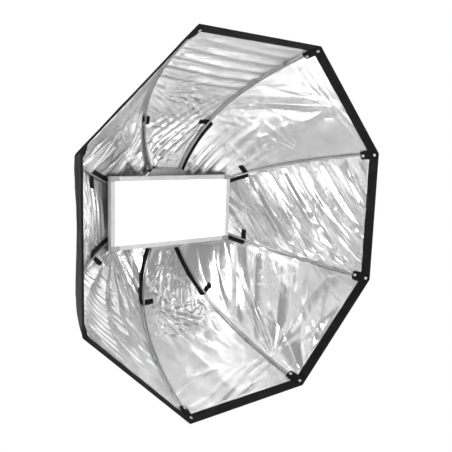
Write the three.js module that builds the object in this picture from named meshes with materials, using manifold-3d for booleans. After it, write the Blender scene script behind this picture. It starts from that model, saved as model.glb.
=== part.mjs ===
// Octagonal studio softbox on a flat LED panel light.
//
// Millimetres, +Z up. The opening faces -Y, +X is to the right as seen from the front. The origin
// is the centre of the mouth of the stand socket, which the whole object hangs on.
//
// The bowl is drawn in a "rib plane": x is the distance from the bowl's axis, y the depth behind
// the front edge. A place on the fabric is given as the distance `along` from the front edge,
// measured along a rib, and the `lift` from the middle of the fabric towards the inside.

import * as THREE from "three";
import { mergeVertices } from "three/addons/utils/BufferGeometryUtils.js";
import Module from "manifold-3d";

const wasm = await Module();
wasm.setup();

// ---- Driving dimensions ------------------------------------------------------------------

// Bowl
const SIDES = 8;
const RIM_RADIUS = 750; // axis to a front corner
const BOWL_DEPTH = 655; // front edge to the inner ends of the rods
const REAR_FULLNESS = new THREE.Vector2(0.64, 1); // rib control points as shares of the
const FRONT_FULLNESS = new THREE.Vector2(0.85, 0.52); // rim radius and of the bowl depth
const RIB_SEGMENTS = 18;
const SKIN_THICKNESS = 2;
const SEAM_GAP = 0.6;

// Webbing: front band, straps and tabs
const WEBBING = 1.6;
const BAND_INSIDE = 42;
const BAND_OUTSIDE = 16;
const STRAP_WIDTH = 20;
const STRAP_LENGTH = 262; // hub end of the fabric to the far side of the tab
const STRAP_OFFSET = 3; // rib plane to the strap
const TAB_WIDTH = 25;
const TAB_REACH = 48;

// Rods and the corner pockets that take their tips
const ROD_RADIUS = 4;
const ROD_CLEARANCE = 1.2;
const ROD_TIP = 13; // front edge to the tip
const POCKET_WIDTH = 42;
const POCKET_LENGTH = 76;
const POCKET_START = 3;
const POCKET_WALL = 2;
const POCKET_BORE_CLEARANCE = 0.6;
const RIVET_RADIUS = 6;
const RIVET_HEIGHT = 2;
const RIVET_FRONT = 15; // front edge to the front rivet
const RIVET_PITCH = 53;

// Hub
const HUB_RADIUS = 200; // axis to a corner of the octagonal ring
const HUB_OPENING_RADIUS = 150;
const HUB_THICKNESS = 7;
const HUB_ROD_GAP = 2;
const SOCKET_DEPTH = 30; // how far a rod goes in behind the hub's corner
const SOCKET_BACK_WALL = 7;
const SOCKET_WIDTH = 22;
const SOCKET_HEIGHT = 24;
const SOCKET_SETBACK = 3;
const STANDOFF_LENGTH = 31; // hub ring to the back of the panel
const STANDOFF_RADIUS = 8;
const STANDOFF_PLACE = 60; // middle of the panel to a standoff, along its edge
const SOCKET_CLEARANCE = 1;
const SKIN_REAR_GAP = 5; // hub corner to the rear edge of the fabric
const COLLAR_OVERLAP = 30;
const COLLAR_REACH = 28; // how far the collar goes back behind the rear edge of the fabric
const COLLAR_TAPER = 16;

// Panel light
const PANEL_WIDTH = 631;
const PANEL_HEIGHT = 317;
const BEZEL_BAR = 21;
const BEZEL_DEPTH = 30;
const BEZEL_RECESS = 24;
const PANEL_CORNER = 3;
const OPENING_CORNER = 1.5;
const DIFFUSER_THICKNESS = 3;
const BOARD_THICKNESS = 1.6;
const BOARD_MARGIN = 6;
const COVER_THICKNESS = 1.5;
const COVER_INSET = 1;
const HOUSING_WIDTH = 232;
const HOUSING_HEIGHT = 150;
const HOUSING_REACH = 52; // hub ring to the rear of the housing
const HOUSING_WALL = 3;
const HOUSING_CORNER = 10;
const FIN_COUNT = 7;
const FIN_PITCH = 9;
const FIN_GROOVE = 5;
const FIN_DEPTH = 6;
const SUPPLY_SIZE = new THREE.Vector3(120, 34, 100);
const CONTROL_ROW = -38; // height of the controls below the middle of the housing
const INLET_PLACE = -72;
const INLET_SIZE = new THREE.Vector3(30, 12, 22);
const INLET_WALL = 2;
const BLADE_WIDTH = 2;
const BLADE_HEIGHT = 4;
const BLADE_PITCH = 7;
const BLADE_STEP = 3; // the middle blade is above the row, and the others below it
const SWITCH_PLACE = -24;
const SWITCH_SIZE = new THREE.Vector3(14, 12, 21);
const SWITCH_ANGLE = 14; // from off to on, in degrees
const SWITCH_CROWN = 3.5;
const SWITCH_SUNK = 5;
const SWITCH_TAPER = 1.5;
const CONTROL_PROUD = 1; // controls stand out of the housing by this much
const DIMMER_PLACE = 62;
const DIMMER_RADIUS = 17;
const DIMMER_HEIGHT = 16;
const DIMMER_SHAFT_RADIUS = 3;
const SHAFT_END = 2; // what a shaft or stud shows behind the wall it goes through

// Tilting yoke and stand socket
const EAR_HEIGHT = 72; // hub ring to the tilt axis
const EAR_THICKNESS = 8;
const EAR_TIP_RADIUS = 18;
const EAR_BASE = 50;
const EAR_FOOT = 24;
const EAR_OUTSIDE = 165; // axis to the outer face of an ear
const YOKE_THICKNESS = 6;
const YOKE_HEIGHT = 36;
const YOKE_REACH = 185; // tilt axis to the rear face of the crossbar
const YOKE_BEND = 14;
const STUD_RADIUS = 4;
const STUD_CLEARANCE = 0.4;
const KNOB_RADIUS = 20;
const KNOB_HEIGHT = 20;
const KNOB_LOBES = 6;
const KNOB_DIMPLE = 5;
const KNOB_TAPER = 0.94; // top radius as a share of the radius at the seat
const DIMPLE_FLOOR = 0.2; // where the dimples start, as a share of the height
const RECEIVER_RADIUS = 17;
const RECEIVER_HEIGHT = 92;
const RECEIVER_BORE = 8.1;
const RECEIVER_BORE_DEPTH = 70;
const RECEIVER_PAD = 6;
const CLAMP_HEIGHT = 30; // socket mouth to the clamp screw
const CLAMP_SCREW_RADIUS = 4;
const CLAMP_HANDLE_WIDTH = 46;
const CLAMP_HANDLE_HEIGHT = 15;
const CLAMP_HANDLE_DEPTH = 12;
const CLAMP_NECK = 26; // outside of the receiver to the handle
const CLAMP_PAD_RADIUS = 5;
const CLAMP_PAD_THICKNESS = 3;

const FIT = 0.3; // gap between touching pieces

// ---- Solids ------------------------------------------------------------------------------

function solid(geometry) {
  const bare = geometry.index ? geometry.toNonIndexed() : geometry.clone();
  bare.deleteAttribute("normal");
  bare.deleteAttribute("uv");
  const merged = mergeVertices(bare, 1e-4);
  return new wasm.Manifold(
    new wasm.Mesh({
      numProp: 3,
      vertProperties: merged.attributes.position.array,
      triVerts: new Uint32Array(merged.index.array),
    }),
  );
}

function geometryOf(made) {
  const mesh = made.getMesh();
  const geometry = new THREE.BufferGeometry();
  geometry.setAttribute("position", new THREE.BufferAttribute(mesh.vertProperties, 3));
  geometry.setIndex(new THREE.BufferAttribute(mesh.triVerts, 1));
  geometry.computeVertexNormals();
  return geometry;
}

// A box between two corners.
function block(low, high) {
  const size = new THREE.Vector3().subVectors(high, low);
  const middle = new THREE.Vector3().addVectors(low, high).multiplyScalar(0.5);
  return new THREE.BoxGeometry(size.x, size.y, size.z).translate(middle.x, middle.y, middle.z);
}

// A round bar between two points.
function bar(start, end, radius, sides = 20) {
  const axis = new THREE.Vector3().subVectors(end, start);
  const middle = new THREE.Vector3().addVectors(start, end).multiplyScalar(0.5);
  const turn = new THREE.Quaternion().setFromUnitVectors(
    new THREE.Vector3(0, 1, 0),
    axis.clone().normalize(),
  );
  return new THREE.CylinderGeometry(radius, radius, axis.length(), sides)
    .applyQuaternion(turn)
    .translate(middle.x, middle.y, middle.z);
}

function outline(points) {
  return new THREE.Shape(points.map(([x, y]) => new THREE.Vector2(x, y)));
}

// A flat outline in x and y, given a thickness centred on z = 0.
function plate(shape, thickness, curveSegments = 8) {
  return new THREE.ExtrudeGeometry(shape, {
    depth: thickness,
    bevelEnabled: false,
    curveSegments,
  }).translate(0, 0, -thickness / 2);
}

function roundedRectangle(width, height, radius) {
  const shape = new THREE.Shape();
  const x = width / 2;
  const y = height / 2;
  shape.moveTo(x - radius, -y);
  shape.absarc(x - radius, -y + radius, radius, -Math.PI / 2, 0);
  shape.absarc(x - radius, y - radius, radius, 0, Math.PI / 2);
  shape.absarc(-x + radius, y - radius, radius, Math.PI / 2, Math.PI);
  shape.absarc(-x + radius, -y + radius, radius, Math.PI, 1.5 * Math.PI);
  return shape;
}

// An outline drawn as seen from the front, from one depth to a greater one.
function fromFront(shape, frontDepth, rearDepth, curveSegments = 8) {
  const thickness = rearDepth - frontDepth;
  return plate(shape, thickness, curveSegments)
    .rotateX(Math.PI / 2)
    .translate(0, (frontDepth + rearDepth) / 2, 0);
}

// An eight-sided ring whose section is a closed list of [radius, depth] points, by corner radius.
function octagonRing(section) {
  const points = section.map(([x, y]) => new THREE.Vector2(x, y));
  if (THREE.ShapeUtils.isClockWise(points)) points.reverse();
  points.push(points[0].clone());
  return new THREE.LatheGeometry(points, SIDES, HALF_SIDE_ANGLE);
}

// ---- The rib curve -----------------------------------------------------------------------

const SIDE_ANGLE = (2 * Math.PI) / SIDES;
const HALF_SIDE_ANGLE = SIDE_ANGLE / 2;
const FLAT_SHARE = Math.cos(HALF_SIDE_ANGLE); // of a corner's radius, at the middle of a side

const rodLift =
  (SKIN_THICKNESS / 2 + WEBBING + 2 * FIT + ROD_RADIUS) / FLAT_SHARE + ROD_CLEARANCE;
const rib = new THREE.CubicBezierCurve(
  new THREE.Vector2(HUB_RADIUS - SOCKET_DEPTH, BOWL_DEPTH),
  new THREE.Vector2(RIM_RADIUS * REAR_FULLNESS.x, BOWL_DEPTH * REAR_FULLNESS.y),
  new THREE.Vector2(RIM_RADIUS * FRONT_FULLNESS.x, BOWL_DEPTH * FRONT_FULLNESS.y),
  new THREE.Vector2(RIM_RADIUS - rodLift - WEBBING, 0),
);
const ribLength = rib.getLength();
const ribStep = ribLength / RIB_SEGMENTS;

// The exact point at a distance from the front edge; the rod's own middle is at rodLift.
function curvePoint(along, lift) {
  const share = THREE.MathUtils.clamp(1 - along / ribLength, 0, 1);
  const place = rib.getPointAt(share);
  const direction = rib.getTangentAt(share);
  const inward = new THREE.Vector2(direction.y, -direction.x);
  return place.addScaledVector(inward, lift - rodLift);
}

// The same on straight chords between fixed stations, so that every layer of cloth is faceted alike.
function ribPoint(along, lift) {
  const station = Math.min(Math.floor(along / ribStep), RIB_SEGMENTS - 1);
  const here = curvePoint(station * ribStep, lift);
  const next = curvePoint((station + 1) * ribStep, lift);
  return here.lerp(next, along / ribStep - station);
}

// All places from one distance to another at which a layer has to bend.
function stations(from, to) {
  const places = [from];
  for (let i = 1; i < RIB_SEGMENTS; i += 1) {
    const place = i * ribStep;
    if (place > from + FIT && place < to - FIT) places.push(place);
  }
  places.push(to);
  return places;
}

// The distance from the front edge at which the cloth's middle has this radius.
function alongAtRadius(radius) {
  let near = 0;
  let far = ribLength;
  for (let i = 0; i < 40; i += 1) {
    const middle = (near + far) / 2;
    if (ribPoint(middle, 0).x > radius) near = middle;
    else far = middle;
  }
  return near;
}

// A stretch of the rib curve as a path for a rod, a pocket or a bore.
class RibPath extends THREE.Curve {
  constructor(from, to, lift) {
    super();
    this.from = from;
    this.to = to;
    this.lift = lift;
  }

  getPoint(share, target = new THREE.Vector3()) {
    const place = curvePoint(THREE.MathUtils.lerp(this.from, this.to, share), this.lift);
    return target.set(place.x, place.y, 0);
  }
}

function alongRib(shape, from, to, steps, curveSegments = 8) {
  return new THREE.ExtrudeGeometry(shape, {
    steps,
    curveSegments,
    bevelEnabled: false,
    extrudePath: new RibPath(from, to, rodLift),
  });
}

function circle(radius, sides) {
  const shape = new THREE.Shape();
  for (let i = 0; i < sides; i += 1) {
    const angle = ((i + 0.5) * 2 * Math.PI) / sides;
    const place = [radius * Math.cos(angle), radius * Math.sin(angle)];
    if (i === 0) shape.moveTo(...place);
    else shape.lineTo(...place);
  }
  return shape;
}

// A layer of cloth on the flat sides: x is the radius at the middle of a side, y the depth, and z
// runs across the side.
function layer(from, to, lowLift, highLift) {
  const width = 2 * RIM_RADIUS;
  const places = stations(from, to);
  const low = places.map((along) => ribPoint(along, lowLift));
  const high = places.map((along) => ribPoint(along, highLift)).reverse();
  const points = [...low, ...high].map((p) => [p.x * FLAT_SHARE, p.y]);
  return plate(outline(points), width);
}

// ---- Depths that follow from the rib -----------------------------------------------------

const ribStart = rib.v0;
const hubRear = ribStart.y - ROD_RADIUS - HUB_ROD_GAP;
const hubFront = hubRear - HUB_THICKNESS;
const coverRear = hubFront - STANDOFF_LENGTH - FIT;
const coverFront = coverRear - COVER_THICKNESS;
const bezelRear = coverFront - FIT;
const bezelFront = bezelRear - BEZEL_DEPTH;
const diffuserFront = bezelFront + BEZEL_RECESS;
const diffuserRear = diffuserFront + DIFFUSER_THICKNESS;
const boardFront = diffuserRear + FIT;
const housingRear = hubRear + HOUSING_REACH;
const tiltDepth = hubRear + FIT + EAR_HEIGHT;
const skinFront = WEBBING + FIT;
const skinRear = alongAtRadius(HUB_RADIUS + SKIN_REAR_GAP);

const crossbarRear = -(RECEIVER_RADIUS + RECEIVER_PAD + FIT);
const tiltPlace = crossbarRear - YOKE_REACH;
const frontEdge = tiltPlace - tiltDepth;
const tiltHeight = RECEIVER_HEIGHT - YOKE_HEIGHT / 2 - RECEIVER_PAD;

// ---- Placing -----------------------------------------------------------------------------

const softbox = new THREE.Group();
softbox.position.set(0, frontEdge, tiltHeight);
const stand = new THREE.Group();
const object = new THREE.Group();
object.add(softbox, stand);

const FINISHES = {
  silver: [0xc9cacc, 0.28, 0.85],
  black: [0x17181a, 0.85, 0],
  rod: [0x9a9da1, 0.35, 0.9],
  aluminium: [0xc6c7c9, 0.42, 0.75],
  cast: [0x2a2b2e, 0.55, 0.3],
  plastic: [0x141416, 0.5, 0],
  steel: [0xb4b6b8, 0.3, 1],
  light: [0xffffff, 0.5, 0],
  board: [0xe6e7e4, 0.6, 0],
};

function add(group, name, geometry, finish, angle = 0) {
  const [color, roughness, metalness] = FINISHES[finish];
  const material = new THREE.MeshStandardMaterial({ color, roughness, metalness });
  const mesh = new THREE.Mesh(geometry, material);
  mesh.name = name;
  mesh.rotation.y = -angle;
  group.add(mesh);
  return mesh;
}

// Angle of a side's middle, or of the corner that follows it, counted up from +X.
const sideAngle = (index) => index * SIDE_ANGLE;
const cornerAngle = (index) => index * SIDE_ANGLE + HALF_SIDE_ANGLE;

// ---- Fabric ------------------------------------------------------------------------------

function skinGore() {
  const reach = 2 * RIM_RADIUS;
  const half = reach * Math.tan(HALF_SIDE_ANGLE);
  const apex = SEAM_GAP / 2 / Math.sin(HALF_SIDE_ANGLE);
  const wedge = outline([
    [apex, 0],
    [apex + reach, -half],
    [apex + reach, half],
  ]);
  const cloth = layer(skinFront, skinRear, -SKIN_THICKNESS / 2, SKIN_THICKNESS / 2);
  const sector = fromFront(wedge, -BOWL_DEPTH, 2 * BOWL_DEPTH);
  return geometryOf(solid(cloth).intersect(solid(sector)));
}

// The webbing folds round the front edge: a wide leg inside, a narrow hem outside.
function frontBand() {
  const near = SKIN_THICKNESS / 2 + FIT;
  const far = near + WEBBING;
  const at = (along, lift) => ribPoint(along, lift).toArray();
  const inside = stations(WEBBING, BAND_INSIDE);
  const outside = stations(WEBBING, BAND_OUTSIDE);
  return octagonRing([
    [ribPoint(0, far).x, 0],
    ...inside.slice(1).map((along) => at(along, far)),
    ...inside.reverse().map((along) => at(along, near)),
    ...outside.map((along) => at(along, -near)),
    ...outside.slice(1).reverse().map((along) => at(along, -far)),
    [ribPoint(0, -far).x, 0],
  ]);
}

// An elastic sleeve on the outside of the rear edge, drawn in behind the hub.
function rearCollar() {
  const near = -(SKIN_THICKNESS / 2 + FIT);
  const far = near - WEBBING;
  const start = skinRear - COLLAR_OVERLAP;
  const laid = stations(start, skinRear);
  const edge = ribPoint(skinRear, near);
  const outerEdge = ribPoint(skinRear, far);
  const waist = edge.y + COLLAR_REACH / 2;
  const end = edge.y + COLLAR_REACH;
  return octagonRing([
    ...laid.map((along) => ribPoint(along, near).toArray()),
    [edge.x - WEBBING, waist],
    [edge.x - COLLAR_TAPER, end],
    [edge.x - COLLAR_TAPER + WEBBING, end + WEBBING],
    [edge.x + WEBBING / 2, waist + WEBBING],
    [outerEdge.x, outerEdge.y],
    ...laid.slice(0, -1).reverse().map((along) => ribPoint(along, far).toArray()),
  ]);
}

// A stretch of webbing on the side next to a rib, between two distances from the rib plane.
// The side is +1 for the side that follows the rib and -1 for the one before it.
function webbingBesideRib(side, from, to, near, far) {
  const low = SKIN_THICKNESS / 2 + FIT;
  const cloth = layer(from, to, low, low + WEBBING).rotateY(-side * HALF_SIDE_ANGLE);
  const reach = 2 * RIM_RADIUS;
  const edges = [side * near, side * far].sort((a, b) => a - b);
  const slab = block(
    new THREE.Vector3(0, -reach, edges[0]),
    new THREE.Vector3(reach, reach, edges[1]),
  );
  return solid(cloth).intersect(solid(slab));
}

// A strap beside the rod and a tab across its end that wraps the rod.
function ribStrap() {
  const tabStart = skinRear - STRAP_LENGTH;
  const tabEnd = tabStart + TAB_WIDTH;
  const outer = STRAP_OFFSET + STRAP_WIDTH;
  const strap = webbingBesideRib(-1, tabStart, skinRear - FIT, STRAP_OFFSET, outer);
  const under = webbingBesideRib(-1, tabStart, tabEnd, -FIT, outer);
  const across = webbingBesideRib(1, tabStart, tabEnd, -FIT, TAB_REACH);
  return geometryOf(strap.add(under).add(across));
}

// A sewn pouch in a front corner, closed at the front, with two rivets through its inner face.
function cornerPocket() {
  const outerPoint = SKIN_THICKNESS / 2 + WEBBING + 2 * FIT + 0.2 - rodLift;
  const innerFace = ROD_RADIUS + POCKET_BORE_CLEARANCE + POCKET_WALL;
  const half = POCKET_WIDTH / 2;
  const wing = Math.min(outerPoint + half * Math.tan(HALF_SIDE_ANGLE), innerFace - POCKET_WALL);
  const section = outline([
    [0, outerPoint],
    [half, wing],
    [half, innerFace],
    [-half, innerFace],
    [-half, wing],
  ]);
  const end = POCKET_START + POCKET_LENGTH;
  const bore = circle(ROD_RADIUS + POCKET_BORE_CLEARANCE, 10);
  let pocket = solid(alongRib(section, POCKET_START, end, 3));
  pocket = pocket.subtract(solid(alongRib(bore, ROD_TIP - FIT, end + 2 * WEBBING, 4)));
  for (const along of [RIVET_FRONT, RIVET_FRONT + RIVET_PITCH]) {
    const foot = curvePoint(along, rodLift + innerFace - FIT);
    const top = curvePoint(along, rodLift + innerFace + RIVET_HEIGHT);
    const rivet = bar(
      new THREE.Vector3(foot.x, foot.y, 0),
      new THREE.Vector3(top.x, top.y, 0),
      RIVET_RADIUS,
      12,
    );
    pocket = pocket.add(solid(rivet));
  }
  return geometryOf(pocket);
}

// ---- Rods and hub ------------------------------------------------------------------------

const ribRod = () => alongRib(circle(ROD_RADIUS, 8), ROD_TIP, ribLength - FIT, 22);

// A block behind a corner of the hub with a blind bore that follows the rod.
function rodSocket() {
  const inner = ribStart.x - SOCKET_BACK_WALL;
  const body = block(
    new THREE.Vector3(inner, hubRear + FIT, -SOCKET_WIDTH / 2),
    new THREE.Vector3(HUB_RADIUS - SOCKET_SETBACK, hubRear + SOCKET_HEIGHT, SOCKET_WIDTH / 2),
  );
  const bore = alongRib(
    circle(ROD_RADIUS + SOCKET_CLEARANCE, 8),
    ribLength - 2 * SOCKET_DEPTH,
    ribLength,
    12,
  );
  return geometryOf(solid(body).subtract(solid(bore)));
}

// The ring, with four standoffs that carry the panel in front of it. They stand in the middle of
// what the ring's inner edge and the panel's edge have in common.
function hubRing() {
  let ring = solid(
    octagonRing([
      [HUB_OPENING_RADIUS, hubFront],
      [HUB_RADIUS, hubFront],
      [HUB_RADIUS, hubRear],
      [HUB_OPENING_RADIUS, hubRear],
    ]),
  );
  const height = (HUB_OPENING_RADIUS * FLAT_SHARE + PANEL_HEIGHT / 2) / 2;
  for (const x of [-STANDOFF_PLACE, STANDOFF_PLACE]) {
    for (const z of [-height, height]) {
      const front = new THREE.Vector3(x, hubFront - STANDOFF_LENGTH, z);
      const rear = new THREE.Vector3(x, hubFront + HUB_THICKNESS / 2, z);
      ring = ring.add(solid(bar(front, rear, STANDOFF_RADIUS, 16)));
    }
  }
  return geometryOf(ring);
}

// ---- Panel light -------------------------------------------------------------------------

function panelBezel() {
  const shape = roundedRectangle(PANEL_WIDTH, PANEL_HEIGHT, PANEL_CORNER);
  const inset = 2 * BEZEL_BAR;
  const opening = roundedRectangle(PANEL_WIDTH - inset, PANEL_HEIGHT - inset, OPENING_CORNER);
  shape.holes.push(opening);
  return fromFront(shape, bezelFront, bezelRear, 3);
}

function panelSheet(margin, front, thickness) {
  const inset = 2 * (BEZEL_BAR + margin);
  const shape = roundedRectangle(PANEL_WIDTH - inset, PANEL_HEIGHT - inset, OPENING_CORNER);
  return fromFront(shape, front, front + thickness, 2);
}

function panelCover() {
  const inset = 2 * COVER_INSET;
  const shape = roundedRectangle(PANEL_WIDTH - inset, PANEL_HEIGHT - inset, PANEL_CORNER);
  return fromFront(shape, coverFront, coverRear, 3);
}

// A case that is open towards the panel, with cooling grooves and openings for the controls.
function driverHousing() {
  const front = coverRear + FIT;
  const outer = roundedRectangle(HOUSING_WIDTH, HOUSING_HEIGHT, HOUSING_CORNER);
  const inner = roundedRectangle(
    HOUSING_WIDTH - 2 * HOUSING_WALL,
    HOUSING_HEIGHT - 2 * HOUSING_WALL,
    HOUSING_CORNER - HOUSING_WALL,
  );
  const floor = housingRear - FIN_DEPTH - HOUSING_WALL;
  let housing = solid(fromFront(outer, front, housingRear, 4));
  housing = housing.subtract(solid(fromFront(inner, front - 1, floor, 4)));
  const grooveHalf = HOUSING_WIDTH / 2 - HOUSING_CORNER;
  for (let i = 0; i < FIN_COUNT; i += 1) {
    const height = HOUSING_HEIGHT / 2 - HOUSING_CORNER - i * FIN_PITCH;
    const groove = block(
      new THREE.Vector3(-grooveHalf, housingRear - FIN_DEPTH, height - FIN_GROOVE / 2),
      new THREE.Vector3(grooveHalf, housingRear + 1, height + FIN_GROOVE / 2),
    );
    housing = housing.subtract(solid(groove));
  }
  for (const [place, size] of [
    [INLET_PLACE, INLET_SIZE],
    [SWITCH_PLACE, SWITCH_SIZE],
  ]) {
    const gap = new THREE.Vector3(FIT, 0, FIT);
    const low = new THREE.Vector3(place - size.x / 2, floor - 1, CONTROL_ROW - size.z / 2).sub(gap);
    const high = new THREE.Vector3(place + size.x / 2, housingRear + 1, CONTROL_ROW + size.z / 2);
    housing = housing.subtract(solid(block(low, high.add(gap))));
  }
  const shaftHole = bar(
    new THREE.Vector3(DIMMER_PLACE, floor - 1, CONTROL_ROW),
    new THREE.Vector3(DIMMER_PLACE, housingRear + 1, CONTROL_ROW),
    DIMMER_SHAFT_RADIUS + STUD_CLEARANCE,
    16,
  );
  return geometryOf(housing.subtract(solid(shaftHole)));
}

function powerSupply() {
  const front = coverRear + 2 * FIT + HOUSING_WALL;
  return block(
    new THREE.Vector3(-SUPPLY_SIZE.x / 2, front, -SUPPLY_SIZE.z / 2),
    new THREE.Vector3(SUPPLY_SIZE.x / 2, front + SUPPLY_SIZE.y, SUPPLY_SIZE.z / 2),
  );
}

// A recessed mains inlet with three contact blades.
function powerInlet() {
  const rear = housingRear + CONTROL_PROUD;
  const front = rear - INLET_SIZE.y;
  const floor = front + INLET_WALL;
  const middle = new THREE.Vector3(INLET_PLACE, 0, CONTROL_ROW);
  const half = new THREE.Vector3(INLET_SIZE.x / 2, 0, INLET_SIZE.z / 2);
  const wall = new THREE.Vector3(INLET_WALL, 0, INLET_WALL);
  const low = middle.clone().sub(half);
  const high = middle.clone().add(half);
  const shell = solid(block(low.clone().setY(front), high.clone().setY(rear)));
  const recess = block(low.clone().add(wall).setY(floor), high.clone().sub(wall).setY(rear + 1));
  let inlet = shell.subtract(solid(recess));
  for (const index of [-1, 0, 1]) {
    const x = INLET_PLACE + index * BLADE_PITCH;
    const z = CONTROL_ROW + (index === 0 ? BLADE_STEP : -BLADE_STEP);
    const blade = block(
      new THREE.Vector3(x - BLADE_WIDTH / 2, floor - INLET_WALL / 2, z - BLADE_HEIGHT / 2),
      new THREE.Vector3(x + BLADE_WIDTH / 2, rear - INLET_WALL, z + BLADE_HEIGHT / 2),
    );
    inlet = inlet.add(solid(blade));
  }
  return geometryOf(inlet);
}

// A rocker whose two faces meet at a ridge; its pivot is the origin of this outline.
function powerSwitch() {
  const half = SWITCH_SIZE.z / 2 - CONTROL_PROUD;
  const drop = half * Math.tan(THREE.MathUtils.degToRad(SWITCH_ANGLE / 2));
  const shape = outline([
    [-half + SWITCH_TAPER, -SWITCH_SUNK],
    [half - SWITCH_TAPER, -SWITCH_SUNK],
    [half, SWITCH_CROWN - drop],
    [0, SWITCH_CROWN - drop / 3],
    [-half, SWITCH_CROWN - drop],
  ]);
  return plate(shape, SWITCH_SIZE.x - 2 * FIT);
}

// A round knob with shallow dimples, its axis along y from its seat, and a stud below it.
function dimpledKnob(radius, height, studRadius, studLength) {
  let knob = solid(new THREE.CylinderGeometry(radius * KNOB_TAPER, radius, height, 32));
  knob = knob.translate([0, height / 2, 0]);
  const reach = radius + KNOB_DIMPLE / 2;
  for (let i = 0; i < KNOB_LOBES; i += 1) {
    const angle = (i * 2 * Math.PI) / KNOB_LOBES;
    const low = new THREE.Vector3(reach * Math.cos(angle), height * DIMPLE_FLOOR, reach * Math.sin(angle));
    const high = low.clone().setY(height + 1);
    knob = knob.subtract(solid(bar(low, high, KNOB_DIMPLE, 12)));
  }
  const stud = bar(new THREE.Vector3(0, -studLength, 0), new THREE.Vector3(0, 1, 0), studRadius, 16);
  return geometryOf(knob.add(solid(stud)));
}

// ---- Tilting yoke and stand socket -------------------------------------------------------

// An ear on the back of the hub: a foot on the ring and a rounded cheek with the tilt hole.
function tiltEar() {
  const cheek = new THREE.Shape();
  cheek.moveTo(-EAR_BASE / 2, 0);
  cheek.lineTo(EAR_BASE / 2, 0);
  cheek.lineTo(EAR_TIP_RADIUS, EAR_HEIGHT);
  cheek.absarc(0, EAR_HEIGHT, EAR_TIP_RADIUS, 0, Math.PI);
  const foot = outline([
    [-EAR_BASE / 2, 0],
    [EAR_BASE / 2, 0],
    [EAR_BASE / 2, EAR_THICKNESS],
    [-EAR_BASE / 2, EAR_THICKNESS],
  ]);
  let ear = solid(plate(cheek, EAR_THICKNESS, 10));
  ear = ear.add(solid(plate(foot, EAR_FOOT).translate(0, 0, (EAR_FOOT - EAR_THICKNESS) / 2)));
  const hole = bar(
    new THREE.Vector3(0, EAR_HEIGHT, -EAR_THICKNESS),
    new THREE.Vector3(0, EAR_HEIGHT, EAR_THICKNESS),
    STUD_RADIUS + STUD_CLEARANCE,
    20,
  );
  ear = ear.subtract(solid(hole));
  return geometryOf(ear);
}

// A flat bar bent to a U in plan, with rounded ends and holes on the tilt axis.
function yoke() {
  const inside = EAR_OUTSIDE + FIT;
  const outside = inside + YOKE_THICKNESS;
  const arm = tiltPlace - EAR_TIP_RADIUS;
  const bend = YOKE_BEND;
  const inner = crossbarRear - YOKE_THICKNESS;
  const shape = new THREE.Shape();
  shape.moveTo(-outside, arm);
  shape.lineTo(-inside, arm);
  shape.lineTo(-inside, inner - bend + YOKE_THICKNESS);
  shape.absarc(-outside + bend, crossbarRear - bend, bend - YOKE_THICKNESS, Math.PI, Math.PI / 2, true);
  shape.absarc(outside - bend, crossbarRear - bend, bend - YOKE_THICKNESS, Math.PI / 2, 0, true);
  shape.lineTo(inside, arm);
  shape.lineTo(outside, arm);
  shape.absarc(outside - bend, crossbarRear - bend, bend, 0, Math.PI / 2);
  shape.absarc(-outside + bend, crossbarRear - bend, bend, Math.PI / 2, Math.PI);
  const bent = solid(plate(shape, YOKE_HEIGHT, 5));
  const side = new THREE.Shape();
  side.moveTo(crossbarRear + 1, -YOKE_HEIGHT / 2);
  side.lineTo(crossbarRear + 1, YOKE_HEIGHT / 2);
  side.absarc(tiltPlace, 0, YOKE_HEIGHT / 2, Math.PI / 2, 1.5 * Math.PI);
  const silhouette = plate(side, 3 * outside, 10);
  silhouette.applyMatrix4(
    new THREE.Matrix4().makeBasis(
      new THREE.Vector3(0, 1, 0),
      new THREE.Vector3(0, 0, 1),
      new THREE.Vector3(1, 0, 0),
    ),
  );
  const holes = bar(
    new THREE.Vector3(-outside - 1, tiltPlace, 0),
    new THREE.Vector3(outside + 1, tiltPlace, 0),
    STUD_RADIUS + STUD_CLEARANCE,
    20,
  );
  return geometryOf(bent.intersect(solid(silhouette)).subtract(solid(holes)));
}

// The socket for a lighting stand's spigot: a round body with a pad for the crossbar, a blind
// bore from below and a cross hole for the clamp screw.
function standReceiver() {
  let body = solid(
    bar(new THREE.Vector3(0, 0, 0), new THREE.Vector3(0, 0, RECEIVER_HEIGHT), RECEIVER_RADIUS, 32),
  );
  const pad = block(
    new THREE.Vector3(-RECEIVER_RADIUS, crossbarRear + FIT, RECEIVER_HEIGHT - YOKE_HEIGHT - RECEIVER_PAD),
    new THREE.Vector3(RECEIVER_RADIUS, 0, RECEIVER_HEIGHT - RECEIVER_PAD),
  );
  body = body.add(solid(pad));
  const bore = bar(
    new THREE.Vector3(0, 0, -1),
    new THREE.Vector3(0, 0, RECEIVER_BORE_DEPTH),
    RECEIVER_BORE,
    32,
  );
  const cross = bar(
    new THREE.Vector3(0, 0, CLAMP_HEIGHT),
    new THREE.Vector3(0, 2 * RECEIVER_RADIUS, CLAMP_HEIGHT),
    CLAMP_PAD_RADIUS + STUD_CLEARANCE,
    20,
  );
  return geometryOf(body.subtract(solid(bore)).subtract(solid(cross)));
}

// A T-handled screw, its axis along y.
function clampKnob() {
  const start = RECEIVER_BORE + CLAMP_PAD_THICKNESS + 2 * FIT;
  const handle = RECEIVER_RADIUS + CLAMP_NECK;
  const screw = bar(
    new THREE.Vector3(0, start, 0),
    new THREE.Vector3(0, handle + 1, 0),
    CLAMP_SCREW_RADIUS,
    16,
  );
  const grip = plate(
    roundedRectangle(CLAMP_HANDLE_WIDTH, CLAMP_HANDLE_HEIGHT, CLAMP_HANDLE_HEIGHT / 2 - 0.5),
    CLAMP_HANDLE_DEPTH,
    5,
  )
    .rotateX(Math.PI / 2)
    .translate(0, handle + CLAMP_HANDLE_DEPTH / 2, 0);
  return geometryOf(solid(screw).add(solid(grip)));
}

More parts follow.
